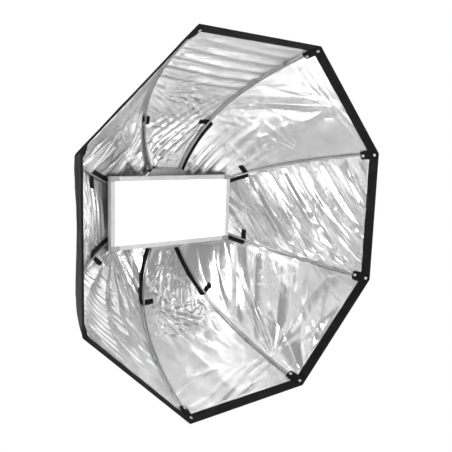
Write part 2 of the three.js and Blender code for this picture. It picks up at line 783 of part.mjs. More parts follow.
// ---- The whole ---------------------------------------------------------------------------

add(softbox, "front_band", frontBand(), "black");
add(softbox, "rear_collar", rearCollar(), "black");
for (let i = 0; i < SIDES; i += 1) {
  add(softbox, `skin_gore_${i + 1}`, skinGore(), "silver", sideAngle(i));
  add(softbox, `corner_pocket_${i + 1}`, cornerPocket(), "black", cornerAngle(i));
  add(softbox, `rib_rod_${i + 1}`, ribRod(), "rod", cornerAngle(i));
  add(softbox, `rib_strap_${i + 1}`, ribStrap(), "black", cornerAngle(i));
  add(softbox, `rod_socket_${i + 1}`, rodSocket(), "cast", cornerAngle(i));
}
add(softbox, "hub_ring", hubRing(), "aluminium");
add(softbox, "panel_bezel", panelBezel(), "aluminium");
add(softbox, "light_diffuser", panelSheet(FIT, diffuserFront, DIFFUSER_THICKNESS), "light");
add(softbox, "led_board", panelSheet(BOARD_MARGIN, boardFront, BOARD_THICKNESS), "board");
add(softbox, "panel_back_cover", panelCover(), "aluminium");
add(softbox, "driver_housing", driverHousing(), "cast");
add(softbox, "power_supply", powerSupply(), "steel");
add(softbox, "power_inlet", powerInlet(), "plastic");

const rocker = add(softbox, "power_switch", powerSwitch(), "plastic");
rocker.rotation.set(THREE.MathUtils.degToRad(SWITCH_ANGLE / 2), Math.PI / 2, 0, "XYZ");
rocker.position.set(SWITCH_PLACE, housingRear, CONTROL_ROW);

const dimmerSeat = housingRear + FIT;
const dimmerStud = FIN_DEPTH + HOUSING_WALL + SHAFT_END;
const dimmer = dimpledKnob(DIMMER_RADIUS, DIMMER_HEIGHT, DIMMER_SHAFT_RADIUS, dimmerStud);
add(softbox, "dimmer_knob", dimmer, "plastic").position.set(DIMMER_PLACE, dimmerSeat, CONTROL_ROW);

for (const [name, side] of [
  ["left", -1],
  ["right", 1],
]) {
  const basis = new THREE.Matrix4().makeBasis(
    new THREE.Vector3(0, 0, side),
    new THREE.Vector3(0, 1, 0),
    new THREE.Vector3(-side, 0, 0),
  );
  const ear = tiltEar().applyMatrix4(basis);
  const earPlace = side * (EAR_OUTSIDE - EAR_THICKNESS / 2);
  add(softbox, `tilt_ear_${name}`, ear, "cast").position.set(earPlace, hubRear + FIT, 0);
  const seat = EAR_OUTSIDE + 2 * FIT + YOKE_THICKNESS;
  const studLength = YOKE_THICKNESS + EAR_THICKNESS + SHAFT_END;
  const knob = dimpledKnob(KNOB_RADIUS, KNOB_HEIGHT, STUD_RADIUS, studLength);
  knob.rotateZ((-side * Math.PI) / 2);
  add(stand, `tilt_lock_knob_${name}`, knob, "plastic").position.set(side * seat, tiltPlace, tiltHeight);
}
add(stand, "tilt_yoke", yoke(), "cast").position.z = tiltHeight;
add(stand, "stand_receiver", standReceiver(), "cast");
add(stand, "clamp_knob", clampKnob(), "plastic").position.z = CLAMP_HEIGHT;
const padFront = RECEIVER_BORE + FIT;
const pad = bar(
  new THREE.Vector3(0, padFront, 0),
  new THREE.Vector3(0, padFront + CLAMP_PAD_THICKNESS - FIT, 0),
  CLAMP_PAD_RADIUS,
  20,
);
add(stand, "clamp_pad", pad, "steel").position.z = CLAMP_HEIGHT;

export default object;
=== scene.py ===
"""Octagonal studio softbox: a silver-lined bowl on bent rods, a flat panel light and a yoke.

Metres, +Z up. The opening faces -Y and +X is to the right as seen from the front. A place on the
cloth is given by the side it is on, `across` from the side's middle line, `along` from the front
edge towards the hub, and `lift` from the middle of the cloth towards the inside of the bowl.
"""

import logging
import math
from collections.abc import Callable
from dataclasses import dataclass, field
from enum import Enum
from functools import cached_property

import bpy
import numpy as np
from mathutils import Matrix, Vector


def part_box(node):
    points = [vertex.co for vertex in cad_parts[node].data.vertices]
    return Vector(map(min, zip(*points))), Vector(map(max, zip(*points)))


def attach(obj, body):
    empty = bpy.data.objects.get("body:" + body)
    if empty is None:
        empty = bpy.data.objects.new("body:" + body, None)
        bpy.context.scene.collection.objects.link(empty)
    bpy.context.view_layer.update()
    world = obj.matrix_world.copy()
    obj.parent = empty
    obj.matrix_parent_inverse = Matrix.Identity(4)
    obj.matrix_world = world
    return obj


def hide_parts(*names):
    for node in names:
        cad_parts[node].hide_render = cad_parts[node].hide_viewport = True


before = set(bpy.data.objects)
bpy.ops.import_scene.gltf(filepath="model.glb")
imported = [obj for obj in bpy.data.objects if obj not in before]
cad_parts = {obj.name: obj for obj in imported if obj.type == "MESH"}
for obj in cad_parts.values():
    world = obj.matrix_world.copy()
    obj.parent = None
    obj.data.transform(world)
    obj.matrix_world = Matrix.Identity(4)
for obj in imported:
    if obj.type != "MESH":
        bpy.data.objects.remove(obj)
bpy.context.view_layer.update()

LOG = logging.getLogger("softbox")
SIDES = 8
SIDE_ANGLE = 2 * math.pi / SIDES
FLAT_SHARE = math.cos(SIDE_ANGLE / 2)  # of a corner's radius, at the middle of a side
HALF_SHARE = math.sin(SIDE_ANGLE / 2)  # half a side's width, as a share of a corner's radius
UV_NAME = "cloth"
LED_PITCH = 0.0125
THREAD = 1  # the number of the thread among a sewn piece's materials
NUDGE = 0.001  # a step off a surface, to find its normal


class Body(Enum):
    """The CAD bodies that new pieces ride on."""

    SOFTBOX = "softbox"


class Slot(Enum):
    """The record's material slots, handed to new pieces, which take their finish from `Finishes`
    instead.
    """

    LINING = "silver_lining"
    WEBBING = "black_webbing"
    ROD = "rod_steel"
    PANEL = "panel_aluminium"
    ZINC = "zinc_steel"


class Held(Enum):
    """How a sheet of cloth is held."""

    STRETCHED = "stretched"
    GATHERED = "gathered"
    FOLDED = "folded"


# ---- Shader maths --------------------------------------------------------------------------


class Shade:
    """A number on a socket, which takes part in arithmetic by adding Math nodes."""

    def __init__(self, graph: "Graph", socket: bpy.types.NodeSocket) -> None:
        """Wraps a socket of a graph."""
        self.graph = graph
        self.socket = socket

    def _math(self, operation: str, first: object, second: object) -> "Shade":
        """A Math node of two values."""
        return self.graph.node(
            "ShaderNodeMath", {"operation": operation}, {0: first, 1: second}
        )

    def __add__(self, other: object) -> "Shade":
        """Sum."""
        return self._math("ADD", self, other)

    __radd__ = __add__

    def __sub__(self, other: object) -> "Shade":
        """Difference."""
        return self._math("SUBTRACT", self, other)

    def __rsub__(self, other: object) -> "Shade":
        """Difference, from a number."""
        return self._math("SUBTRACT", other, self)

    def __mul__(self, other: object) -> "Shade":
        """Product."""
        return self._math("MULTIPLY", self, other)

    __rmul__ = __mul__

    def __truediv__(self, other: object) -> "Shade":
        """Quotient."""
        return self._math("DIVIDE", self, other)

    def above(self, limit: float) -> "Shade":
        """1 where the value is over a limit, else 0."""
        return self._math("GREATER_THAN", self, limit)

    def wave(self) -> "Shade":
        """The sine of the value."""
        return self._math("SINE", self, 0.0)

    def size(self) -> "Shade":
        """The value without its sign."""
        return self._math("ABSOLUTE", self, 0.0)

    def between(self, low: float, high: float) -> "Shade":
        """The value carried smoothly from 0 at low to 1 at high."""
        return self.graph.node(
            "ShaderNodeMapRange",
            {"interpolation_type": "SMOOTHSTEP"},
            {"Value": self, "From Min": low, "From Max": high},
        )


class Graph:
    """The node tree of one material."""

    def __init__(self, name: str) -> None:
        """Starts an empty material of this name."""
        self.material = bpy.data.materials.new(name)
        self.material.use_nodes = True
        self.tree = self.material.node_tree
        self.tree.nodes.clear()

    def node(
        self, kind: str, settings: dict | None = None, values: dict | None = None, out: object = 0
    ) -> Shade:
        """Adds a node.

        Args:
            kind: The node's type.
            settings: Properties that are set first.
            values: Links or constants of sockets, by name or number.
            out: The output that is handed back, by name or number.

        Returns:
            The chosen output.
        """
        made = self.tree.nodes.new(kind)
        for key, value in (settings or {}).items():
            setattr(made, key, value)
        for key, value in (values or {}).items():
            if isinstance(value, Shade):
                self.tree.links.new(value.socket, made.inputs[key])
            else:
                made.inputs[key].default_value = value
        return Shade(self, made.outputs[out])

    def object_place(self, scale: tuple[float, float, float] = (1, 1, 1)) -> Shade:
        """Object coordinates, scaled."""
        place = self.node("ShaderNodeTexCoord", out="Object")
        return self.node("ShaderNodeMapping", None, {"Vector": place, "Scale": scale})

    def cloth_place(self, scale: tuple[float, float, float] = (1, 1, 1)) -> Shade:
        """The piece's own surface coordinates in metres, scaled."""
        place = self.node("ShaderNodeUVMap", {"uv_map": UV_NAME})
        return self.node("ShaderNodeMapping", None, {"Vector": place, "Scale": scale})

    def parts(self, place: Shade) -> list[Shade]:
        """The three numbers of a vector."""
        made = self.tree.nodes.new("ShaderNodeSeparateXYZ")
        self.tree.links.new(place.socket, made.inputs[0])
        return [Shade(self, socket) for socket in made.outputs]

    def noise(self, place: Shade, scale: float, detail: float = 3, twist: float = 0) -> Shade:
        """Soft noise from 0 to 1."""
        return self.node(
            "ShaderNodeTexNoise",
            None,
            {"Vector": place, "Scale": scale, "Detail": detail, "Distortion": twist},
        )

    def mix(self, factor: object, first: object, second: object) -> Shade:
        """A colour between two colours."""
        return self.node(
            "ShaderNodeMix",
            {"data_type": "RGBA"},
            {0: factor, 6: first, 7: second},
            out=2,
        )

    def bump(self, height: Shade, depth: float, strength: float = 1, under: object = None) -> Shade:
        """A Bump node.

        Args:
            height: The relief, from 0 to 1.
            depth: What 1 stands for, in metres.
            strength: How strongly it shows.
            under: Another bump that this one lies on.

        Returns:
            The bent normal.
        """
        values = {"Height": height, "Distance": depth, "Strength": strength}
        if under is not None:
            values["Normal"] = under
        return self.node("ShaderNodeBump", None, values)

    def surface(self, values: dict) -> bpy.types.Material:
        """Ends the material in a Principled surface.

        Args:
            values: Its sockets' links or constants.

        Returns:
            The finished material.
        """
        shader = self.node("ShaderNodeBsdfPrincipled", None, values)
        output = self.tree.nodes.new("ShaderNodeOutputMaterial")
        self.tree.links.new(shader.socket, output.inputs["Surface"])
        return self.material


def grey(level: float, warm: float = 0.0) -> tuple[float, float, float, float]:
    """A grey colour, made a little warmer or, below 0, cooler."""
    return (level * (1 + warm), level, level * (1 - warm), 1.0)


# ---- Finishes ------------------------------------------------------------------------------


@dataclass(frozen=True)
class SilverLining:
    """Metallised cloth: bright, crinkled along its folds and faintly woven."""

    name: str = "silver_lining"
    tone: float = 0.86
    roughness: float = 0.17
    crinkle: float = 0.0012
    weave_pitch: float = 0.0012

    def make(self) -> bpy.types.Material:
        """Crinkle is ridged noise in two sizes, and the weave is a product of two sines."""
        g = Graph(self.name)
        place = g.cloth_place()
        x, y, _ = g.parts(place)
        patch = g.noise(place, 6.5, 3, 0.4)
        broad = g.noise(place, 24, 3, 0.9)
        fine = g.noise(place, 95, 4, 1.3)
        ridge = 1 - (broad - 0.5).size() * 2.6
        crease = 1 - (fine - 0.5).size() * 3.2
        relief = ridge * 0.3 + crease * patch.between(0.35, 0.7) * 0.4
        turn = 2 * math.pi / self.weave_pitch
        weave = (x * turn).wave() * (y * turn).wave()
        normal = g.bump(relief, self.crinkle, 0.75)
        normal = g.bump(weave, 0.00004, 0.35, normal)
        wear = patch.between(0.3, 0.75)
        colour = g.mix(wear, grey(self.tone, -0.004), grey(self.tone * 0.9, 0.004))
        return g.surface(
            {
                "Base Color": colour,
                "Metallic": 0.92,
                "Roughness": self.roughness + broad * 0.12,
                "Normal": normal,
            }
        )


@dataclass(frozen=True)
class BlackCloth:
    """The black outside of the bowl: plain-woven nylon with a ripstop grid."""

    name: str = "black_shell_cloth"
    tone: float = 0.016
    thread_pitch: float = 0.0009
    grid_pitch: float = 0.006

    def make(self) -> bpy.types.Material:
        """The weave is a product of sines, and each grid line is where a sine nears 1."""
        g = Graph(self.name)
        place = g.cloth_place()
        x, y, _ = g.parts(place)
        turn = 2 * math.pi / self.thread_pitch
        weave = (x * turn).wave() * (y * turn).wave()
        cell = math.pi / self.grid_pitch
        line_x = (x * cell).wave().size().between(0.12, 0.02)
        line_y = (y * cell).wave().size().between(0.12, 0.02)
        grid = line_x + line_y
        crumple = g.noise(place, 30, 4, 0.8)
        normal = g.bump(crumple, 0.0015, 0.6)
        normal = g.bump(weave * 0.3 + grid, 0.00006, 0.7, normal)
        dust = g.noise(place, 9, 4, 0.3).between(0.45, 0.8)
        colour = g.mix(dust * 0.6 + grid * 0.25, grey(self.tone), grey(self.tone * 2.4, 0.02))
        return g.surface(
            {
                "Base Color": colour,
                "Roughness": 0.5 + crumple * 0.22,
                "Normal": normal,
                "Specular IOR Level": 0.3,
            }
        )


@dataclass(frozen=True)
class Webbing:
    """Woven tape with ribs across it and a fuzzy surface."""

    name: str
    tone: float = 0.02
    rib_pitch: float = 0.0022
    thread_pitch: float = 0.0011
    roughness: float = 0.78
    warm: float = 0.0

    def make(self) -> bpy.types.Material:
        """Ribs follow the second coordinate and threads the first, in half-step bond."""
        g = Graph(self.name)
        place = g.cloth_place()
        x, y, _ = g.parts(place)
        rib = (x * (2 * math.pi / self.rib_pitch)).wave()
        thread = (y * (2 * math.pi / self.thread_pitch) + rib.above(0) * math.pi).wave()
        fuzz = g.noise(place, 420, 3, 0.2)
        worn = g.noise(place, 16, 4, 0.5)
        relief = rib.size() * 0.45 + thread * 0.25 + fuzz * 0.5
        colour = g.mix(
            worn.between(0.35, 0.75) * 0.7 + rib.size() * 0.2,
            grey(self.tone * 0.75, self.warm),
            grey(self.tone * 1.9, self.warm),
        )
        return g.surface(
            {
                "Base Color": colour,
                "Roughness": self.roughness + fuzz * 0.15,
                "Normal": g.bump(relief, 0.0004, 0.8),
                "Specular IOR Level": 0.18,
            }
        )


@dataclass(frozen=True)
class DrawnSteel:
    """A drawn spring rod: fine lines along it, with faint dark scuffs."""

    name: str = "drawn_rod_steel"
    tone: float = 0.46

    def make(self) -> bpy.types.Material:
        """The draw lines are noise stretched along the rod."""
        g = Graph(self.name)
        lines = g.noise(g.cloth_place((900, 9, 1)), 1.0, 4)
        scuff = g.noise(g.cloth_place((60, 22, 1)), 1.0, 5, 0.6)
        worn = scuff.between(0.5, 0.72)
        colour = g.mix(worn * 0.8, grey(self.tone, -0.01), grey(self.tone * 0.55))
        return g.surface(
            {
                "Base Color": colour,
                "Metallic": 0.9,
                "Roughness": 0.26 + lines * 0.16 + worn * 0.14,
                "Normal": g.bump(lines, 0.00005, 0.5),
            }
        )


@dataclass(frozen=True)
class SatinAluminium:
    """Anodised aluminium with a short grain, finger marks and fine scratches."""

    name: str
    tone: float = 0.66
    roughness: float = 0.36
    metallic: float = 0.7
    grain: tuple[float, float, float] = (24, 700, 700)

    def make(self) -> bpy.types.Material:
        """The grain is noise stretched along one axis."""
        g = Graph(self.name)
        lines = g.noise(g.object_place(self.grain), 1.0, 3)
        marks = g.noise(g.object_place(), 14, 5, 0.7)
        scratch = g.noise(g.object_place((260, 30, 340)), 1.0, 2, 1.2)
        fine = (scratch - 0.5).size().between(0.012, 0.002)
        colour = g.mix(marks.between(0.4, 0.75), grey(self.tone), grey(self.tone * 0.9, 0.006))
        return g.surface(
            {
                "Base Color": colour,
                "Metallic": self.metallic,
                "Roughness": self.roughness + lines * 0.1 + marks * 0.08 - fine * 0.1,
                "Normal": g.bump(lines * 0.6 + fine, 0.00006, 0.5),
            }
        )


@dataclass(frozen=True)
class PowderCoat:
    """Fine-textured black powder coat, a little polished where it is touched."""

    name: str
    tone: float = 0.024
    roughness: float = 0.46

    def make(self) -> bpy.types.Material:
        """The texture is two sizes of pebbly noise."""
        g = Graph(self.name)
        place = g.object_place()
        pebble = g.noise(place, 1100, 2)
        orange = g.noise(place, 260, 3)
        rubbed = g.noise(place, 17, 5, 0.8).between(0.5, 0.78)
        colour = g.mix(
            rubbed * 0.6 + pebble * 0.15, grey(self.tone, -0.02), grey(self.tone * 2.1, -0.01)
        )
        return g.surface(
            {
                "Base Color": colour,
                "Metallic": 0.15,
                "Roughness": self.roughness + pebble * 0.12 - rubbed * 0.12,
                "Normal": g.bump(pebble * 0.6 + orange * 0.4, 0.00022, 0.7),
            }
        )


@dataclass(frozen=True)
class MouldedPlastic:
    """Spark-eroded black plastic."""

    name: str
    tone: float = 0.018
    roughness: float = 0.42

    def make(self) -> bpy.types.Material:
        """A fine grain and a few wear marks."""
        g = Graph(self.name)
        place = g.object_place()
        grain = g.noise(place, 1700, 2)
        worn = g.noise(place, 45, 5, 0.6).between(0.5, 0.75)
        colour = g.mix(worn * 0.7, grey(self.tone), grey(self.tone * 2.3))
        return g.surface(
            {
                "Base Color": colour,
                "Roughness": self.roughness + grain * 0.14 - worn * 0.08,
                "Normal": g.bump(grain, 0.00012, 0.6),
                "Coat Weight": worn * 0.08,
            }
        )


@dataclass(frozen=True)
class ZincSteel:
    """Zinc-plated steel with a cloudy grey bloom."""

    name: str
    tone: float = 0.6

    def make(self) -> bpy.types.Material:
        """The bloom is soft noise in colour and roughness."""
        g = Graph(self.name)
        place = g.object_place()
        bloom = g.noise(place, 110, 5, 0.9)
        fine = g.noise(place, 900, 3)
        colour = g.mix(bloom.between(0.35, 0.7), grey(self.tone, -0.01), grey(self.tone * 0.72))
        return g.surface(
            {
                "Base Color": colour,
                "Metallic": 0.92,
                "Roughness": 0.26 + bloom * 0.2,
                "Normal": g.bump(fine, 0.00006, 0.5),
            }
        )


@dataclass(frozen=True)
class OpalSheet:
    """The lit opal sheet over the LEDs, a shade dimmer towards its edges."""

    name: str = "opal_sheet_lit"
    glow: float = 1.08
    half_width: float = 0.29
    half_height: float = 0.137
    height: float = 0.068

    def make(self) -> bpy.types.Material:
        """The glow falls a little with the distance from the middle, and a faint LED grid shows."""
        g = Graph(self.name)
        x, _, z = g.parts(g.object_place())
        z = z - self.height
        edge_x = (x.size() / self.half_width).between(0.9, 1.0)
        edge_z = (z.size() / self.half_height).between(0.86, 1.0)
        turn = 2 * math.pi / LED_PITCH
        dots = ((x * turn).wave() * (z * turn).wave()).size()
        level = 1 - edge_x * 0.05 - edge_z * 0.05 - dots * 0.012
        haze = g.noise(g.object_place(), 60, 3)
        glow = g.mix(level, grey(0.0), grey(1.0, 0.004))
        return g.surface(
            {
                "Base Color": g.mix(haze, grey(0.93), grey(0.97)),
                "Roughness": 0.4 + haze * 0.12,
                "Emission Color": glow,
                "Emission Strength": self.glow,
            }
        )


@dataclass(frozen=True)
class BoardLacquer:
    """White solder mask on the LED board."""

    name: str = "white_board_lacquer"

    def make(self) -> bpy.types.Material:
        """Rows of pads show as a faint grid."""
        g = Graph(self.name)
        x, _, z = g.parts(g.object_place())
        turn = 2 * math.pi / LED_PITCH
        pads = ((x * turn).wave() * (z * turn).wave()).size().between(0.8, 0.95)
        haze = g.noise(g.object_place(), 300, 3)
        return g.surface(
            {
                "Base Color": g.mix(pads, grey(0.82), grey(0.6, 0.12)),
                "Roughness": 0.35 + haze * 0.2,
                "Normal": g.bump(pads + haze * 0.2, 0.0002, 0.5),
            }
        )


@dataclass
class Finishes:
    """Every material of the softbox, made once."""

    lining: bpy.types.Material = field(default_factory=SilverLining().make)
    shell: bpy.types.Material = field(default_factory=BlackCloth().make)
    band: bpy.types.Material = field(default_factory=Webbing("loop_tape", 0.009, 0.003).make)
    strap: bpy.types.Material = field(default_factory=Webbing("strap_webbing", 0.009).make)
    pocket: bpy.types.Material = field(default_factory=Webbing("pocket_cloth", 0.008, 0.0016).make)
    loop: bpy.types.Material = field(
        default_factory=Webbing("loop_elastic", 0.42, 0.0012, 0.0008, 0.6).make
    )
    thread: bpy.types.Material = field(
        default_factory=Webbing("sewing_thread", 0.03, 0.0004, 0.0004, 0.55).make
    )
    rod: bpy.types.Material = field(default_factory=DrawnSteel().make)
    hub: bpy.types.Material = field(
        default_factory=SatinAluminium("hub_aluminium_satin", 0.6, 0.34, 0.75, (500, 500, 500)).make
    )
    bezel: bpy.types.Material = field(
        default_factory=SatinAluminium("bezel_aluminium", 0.86, 0.38, 0.2).make
    )
    joiner: bpy.types.Material = field(
        default_factory=SatinAluminium("corner_joiner_aluminium", 0.5, 0.42, 0.6).make
    )
    cover: bpy.types.Material = field(
        default_factory=SatinAluminium("cover_aluminium", 0.55, 0.4, 0.75).make
    )
    cast: bpy.types.Material = field(default_factory=PowderCoat("cast_powder_coat").make)
    yoke: bpy.types.Material = field(default_factory=PowderCoat("yoke_powder_coat", 0.02, 0.5).make)
    plastic: bpy.types.Material = field(default_factory=MouldedPlastic("moulded_black").make)
    knob: bpy.types.Material = field(default_factory=MouldedPlastic("knob_black", 0.022, 0.5).make)
    zinc: bpy.types.Material = field(default_factory=ZincSteel("zinc_plate").make)
    rivet: bpy.types.Material = field(default_factory=ZincSteel("rivet_steel", 0.72).make)
    opal: bpy.types.Material = field(default_factory=OpalSheet().make)
    board: bpy.types.Material = field(default_factory=BoardLacquer().make)


# ---- Surfaces ------------------------------------------------------------------------------


@dataclass
class Surface:
    """Points, faces and surface coordinates, gathered until they become one mesh."""

    points: list[np.ndarray] = field(default_factory=list)
    coords: list[np.ndarray] = field(default_factory=list)
    faces: list[np.ndarray] = field(default_factory=list)
    tints: list[np.ndarray] = field(default_factory=list)
    count: int = 0

    def add(self, points: np.ndarray, coords: np.ndarray, faces: list, tint: int = 0) -> None:
        """Adds one closed shell, with its faces turned outwards.

        Args:
            points: Its points, in any grid shape.
            coords: Surface coordinates of the same grid shape.
            faces: Arrays of corner numbers, one array for each count of corners.
            tint: The number of its material.
        """
        points = points.reshape(-1, 3)
        if signed_volume(points, faces) < 0:
            faces = [f[:, ::-1] for f in faces]
        self.points.append(points)
        self.coords.append(coords.reshape(-1, 2))
        for f in faces:
            self.faces.append(f + self.count)
            self.tints.append(np.full(len(f), tint))
        self.count += len(points)

    def add_cloth(
        self,
        top: np.ndarray,
        bottom: np.ndarray,
        coords: np.ndarray,
        around: bool = False,
        tints: tuple[int, int, int] = (0, 0, 0),
    ) -> None:
        """Adds two layers of one grid, joined at their edges.

        Args:
            top: Points of one layer.
            bottom: Points of the other.
            coords: Surface coordinates of the grid.
            around: Whether the last column joins the first.
            tints: The material numbers of the top, the bottom and the edges.
        """
        points, faces = cloth_shell(top, bottom, around)
        self.add(points, np.concatenate([coords] * 2), faces)
        self.tints[-3:] = [np.full(len(f), tint) for f, tint in zip(faces, tints)]

    def piece(
        self, name: str, body: Body, slot: Slot, materials: list[bpy.types.Material], smooth: float = 50
    ) -> bpy.types.Object:
        """Makes the object, which stands at the origin.

        Args:
            name: The piece's name.
            body: The body it rides on.
            slot: Not used.
            materials: Its materials, by number.
            smooth: Faces that meet at less than this angle, in degrees, are shaded as one.

        Returns:
            The new object.
        """
        points = np.concatenate(self.points)
        coords = np.concatenate(self.coords)
        corners = np.concatenate([f.ravel() for f in self.faces])
        sizes = np.concatenate([np.full(len(f), f.shape[1]) for f in self.faces])
        starts = np.concatenate([[0], np.cumsum(sizes)[:-1]])
        mesh = bpy.data.meshes.new(name)
        mesh.vertices.add(len(points))
        mesh.vertices.foreach_set("co", points.astype(np.float32).ravel())
        mesh.loops.add(len(corners))
        mesh.loops.foreach_set("vertex_index", corners.astype(np.int32))
        mesh.polygons.add(len(sizes))
        mesh.polygons.foreach_set("loop_start", starts.astype(np.int32))
        mesh.polygons.foreach_set("material_index", np.concatenate(self.tints).astype(np.int32))
        mesh.polygons.foreach_set("use_smooth", np.ones(len(sizes), bool))
        layer = mesh.uv_layers.new(name=UV_NAME)
        layer.data.foreach_set("uv", coords[corners].astype(np.float32).ravel())
        mesh.update(calc_edges=True)
        mesh.validate()
        for material in materials:
            mesh.materials.append(material)
        mesh.set_sharp_from_angle(angle=math.radians(smooth))
        made = bpy.data.objects.new(name, mesh)
        bpy.context.scene.collection.objects.link(made)
        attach(made, body.value)
        LOG.info("%s: %d faces", name, len(sizes))
        return made


def signed_volume(points: np.ndarray, faces: list) -> float:
    """Six times the volume inside the faces: the sum of a . (b x c) over their triangles."""
    total = 0.0
    middle = points.mean(axis=0)
    for f in faces:
        a = points[f[:, 0]] - middle
        for i in range(1, f.shape[1] - 1):
            b, c = points[f[:, i]] - middle, points[f[:, i + 1]] - middle
            total += float((a * np.cross(b, c)).sum())
    return total


def grid_quads(rows: int, columns: int, around: bool, first: int = 0) -> np.ndarray:
    """Quads of a grid of points, row by row; `around` joins the last column to the first."""
    wide = columns if around else columns - 1
    i, j = np.meshgrid(np.arange(rows - 1), np.arange(wide), indexing="ij")
    right = (j + 1) % columns
    quads = np.stack(
        [i * columns + j, i * columns + right, (i + 1) * columns + right, (i + 1) * columns + j],
        axis=-1,
    )
    return quads.reshape(-1, 4) + first


def cloth_shell(top: np.ndarray, bottom: np.ndarray, around: bool = False) -> tuple[np.ndarray, list]:
    """Two layers of the same grid joined at their edges.

    Args:
        top: Points of one face, rows by columns by 3.
        bottom: Points of the other face.
        around: Whether the last column joins the first.

    Returns:
        The points, and [faces of the top, faces of the bottom, faces of the edges].
    """
    rows, columns = top.shape[:2]
    count = rows * columns
    upper = grid_quads(rows, columns, around)
    lower = grid_quads(rows, columns, around, count)[:, ::-1]
    number = np.arange(count).reshape(rows, columns)
    if around:
        loops = [np.append(number[0], number[0, 0])[::-1], np.append(number[-1], number[-1, 0])]
    else:
        loops = [
            np.concatenate(
                [number[0], number[1:, -1], number[-1, ::-1][1:], number[::-1, 0][1:]]
            )[::-1]
        ]
    edges = [
        np.stack([loop[1:], loop[:-1], loop[:-1] + count, loop[1:] + count], axis=-1)[:, ::-1]
        for loop in loops
    ]
    points = np.concatenate([top.reshape(-1, 3), bottom.reshape(-1, 3)])
    return points, [upper, lower, np.concatenate(edges)]


def swept(rings: np.ndarray, closed: bool = False) -> list:
    """Faces of a closed section carried along a path, with flat ends or joined end to start.

    Args:
        rings: Points, stations by places round the section by 3.
        closed: Whether the path is a loop.

    Returns:
        Its faces.
    """
    stations, places = rings.shape[:2]
    if closed:
        i, j = np.meshgrid(np.arange(stations), np.arange(places), indexing="ij")
        on, right = (i + 1) % stations, (j + 1) % places
        quads = np.stack(
            [i * places + j, i * places + right, on * places + right, on * places + j], axis=-1
        )
        return [quads.reshape(-1, 4)]
    first = np.arange(places)[None, ::-1]
    last = first[:, ::-1] + (stations - 1) * places
    return [grid_quads(stations, places, True), first, last]


def unit(vectors: np.ndarray) -> np.ndarray:
    """The vectors of the last axis, each over its length."""
    return vectors / np.linalg.norm(vectors, axis=-1, keepdims=True)


def circle(places: int, start: float = 0.0) -> np.ndarray:
    """Angles evenly round a turn."""
    return start + np.linspace(0, 2 * np.pi, places + 1)[:-1]


def rounded_steps(count: int) -> np.ndarray:
    """(1 - cos t) / 2 from 0 to 1, which is closer spaced at its ends."""
    return 0.5 - 0.5 * np.cos(np.linspace(0, np.pi, count))


def rim_shares(steps: int) -> tuple[np.ndarray, np.ndarray]:
    """Side numbers and shares of the half width, once round the octagon."""
    share = np.linspace(-1, 1, steps + 1)[:-1]
    return np.repeat(np.arange(SIDES), steps), np.tile(share, SIDES)


def tube_coords(length: float, girth: float, rings: np.ndarray) -> np.ndarray:
    """Surface coordinates of a swept section: round it in the first, along it in the second."""
    stations, places = rings.shape[:2]
    u, v = np.meshgrid(np.linspace(0, girth, places), np.linspace(0, length, stations))
    return np.stack([u, v], axis=-1)


def smooth_step(low: float, high: float, value: np.ndarray) -> np.ndarray:
    """0 below low and 1 above high, and t * t * (3 - 2 t) between."""
    t = np.clip((value - low) / (high - low), 0, 1)
    return t * t * (3 - 2 * t)


def lattice_noise(x: np.ndarray, y: np.ndarray, cell: float, seed: int) -> np.ndarray:
    """Smooth noise from -1 to 1: random values at the corners of cells, eased between them."""
    values = np.random.default_rng(seed).uniform(-1, 1, (64, 64))
    u, v = x / cell + 31.7, y / cell + 17.3
    i, j = np.floor(u).astype(int), np.floor(v).astype(int)
    fu, fv = smooth_step(0, 1, u - i), smooth_step(0, 1, v - j)
    near = values[i % 64, j % 64] * (1 - fu) + values[(i + 1) % 64, j % 64] * fu
    far = values[i % 64, (j + 1) % 64] * (1 - fu) + values[(i + 1) % 64, (j + 1) % 64] * fu
    return near * (1 - fv) + far * fv


# ---- The bowl ------------------------------------------------------------------------------


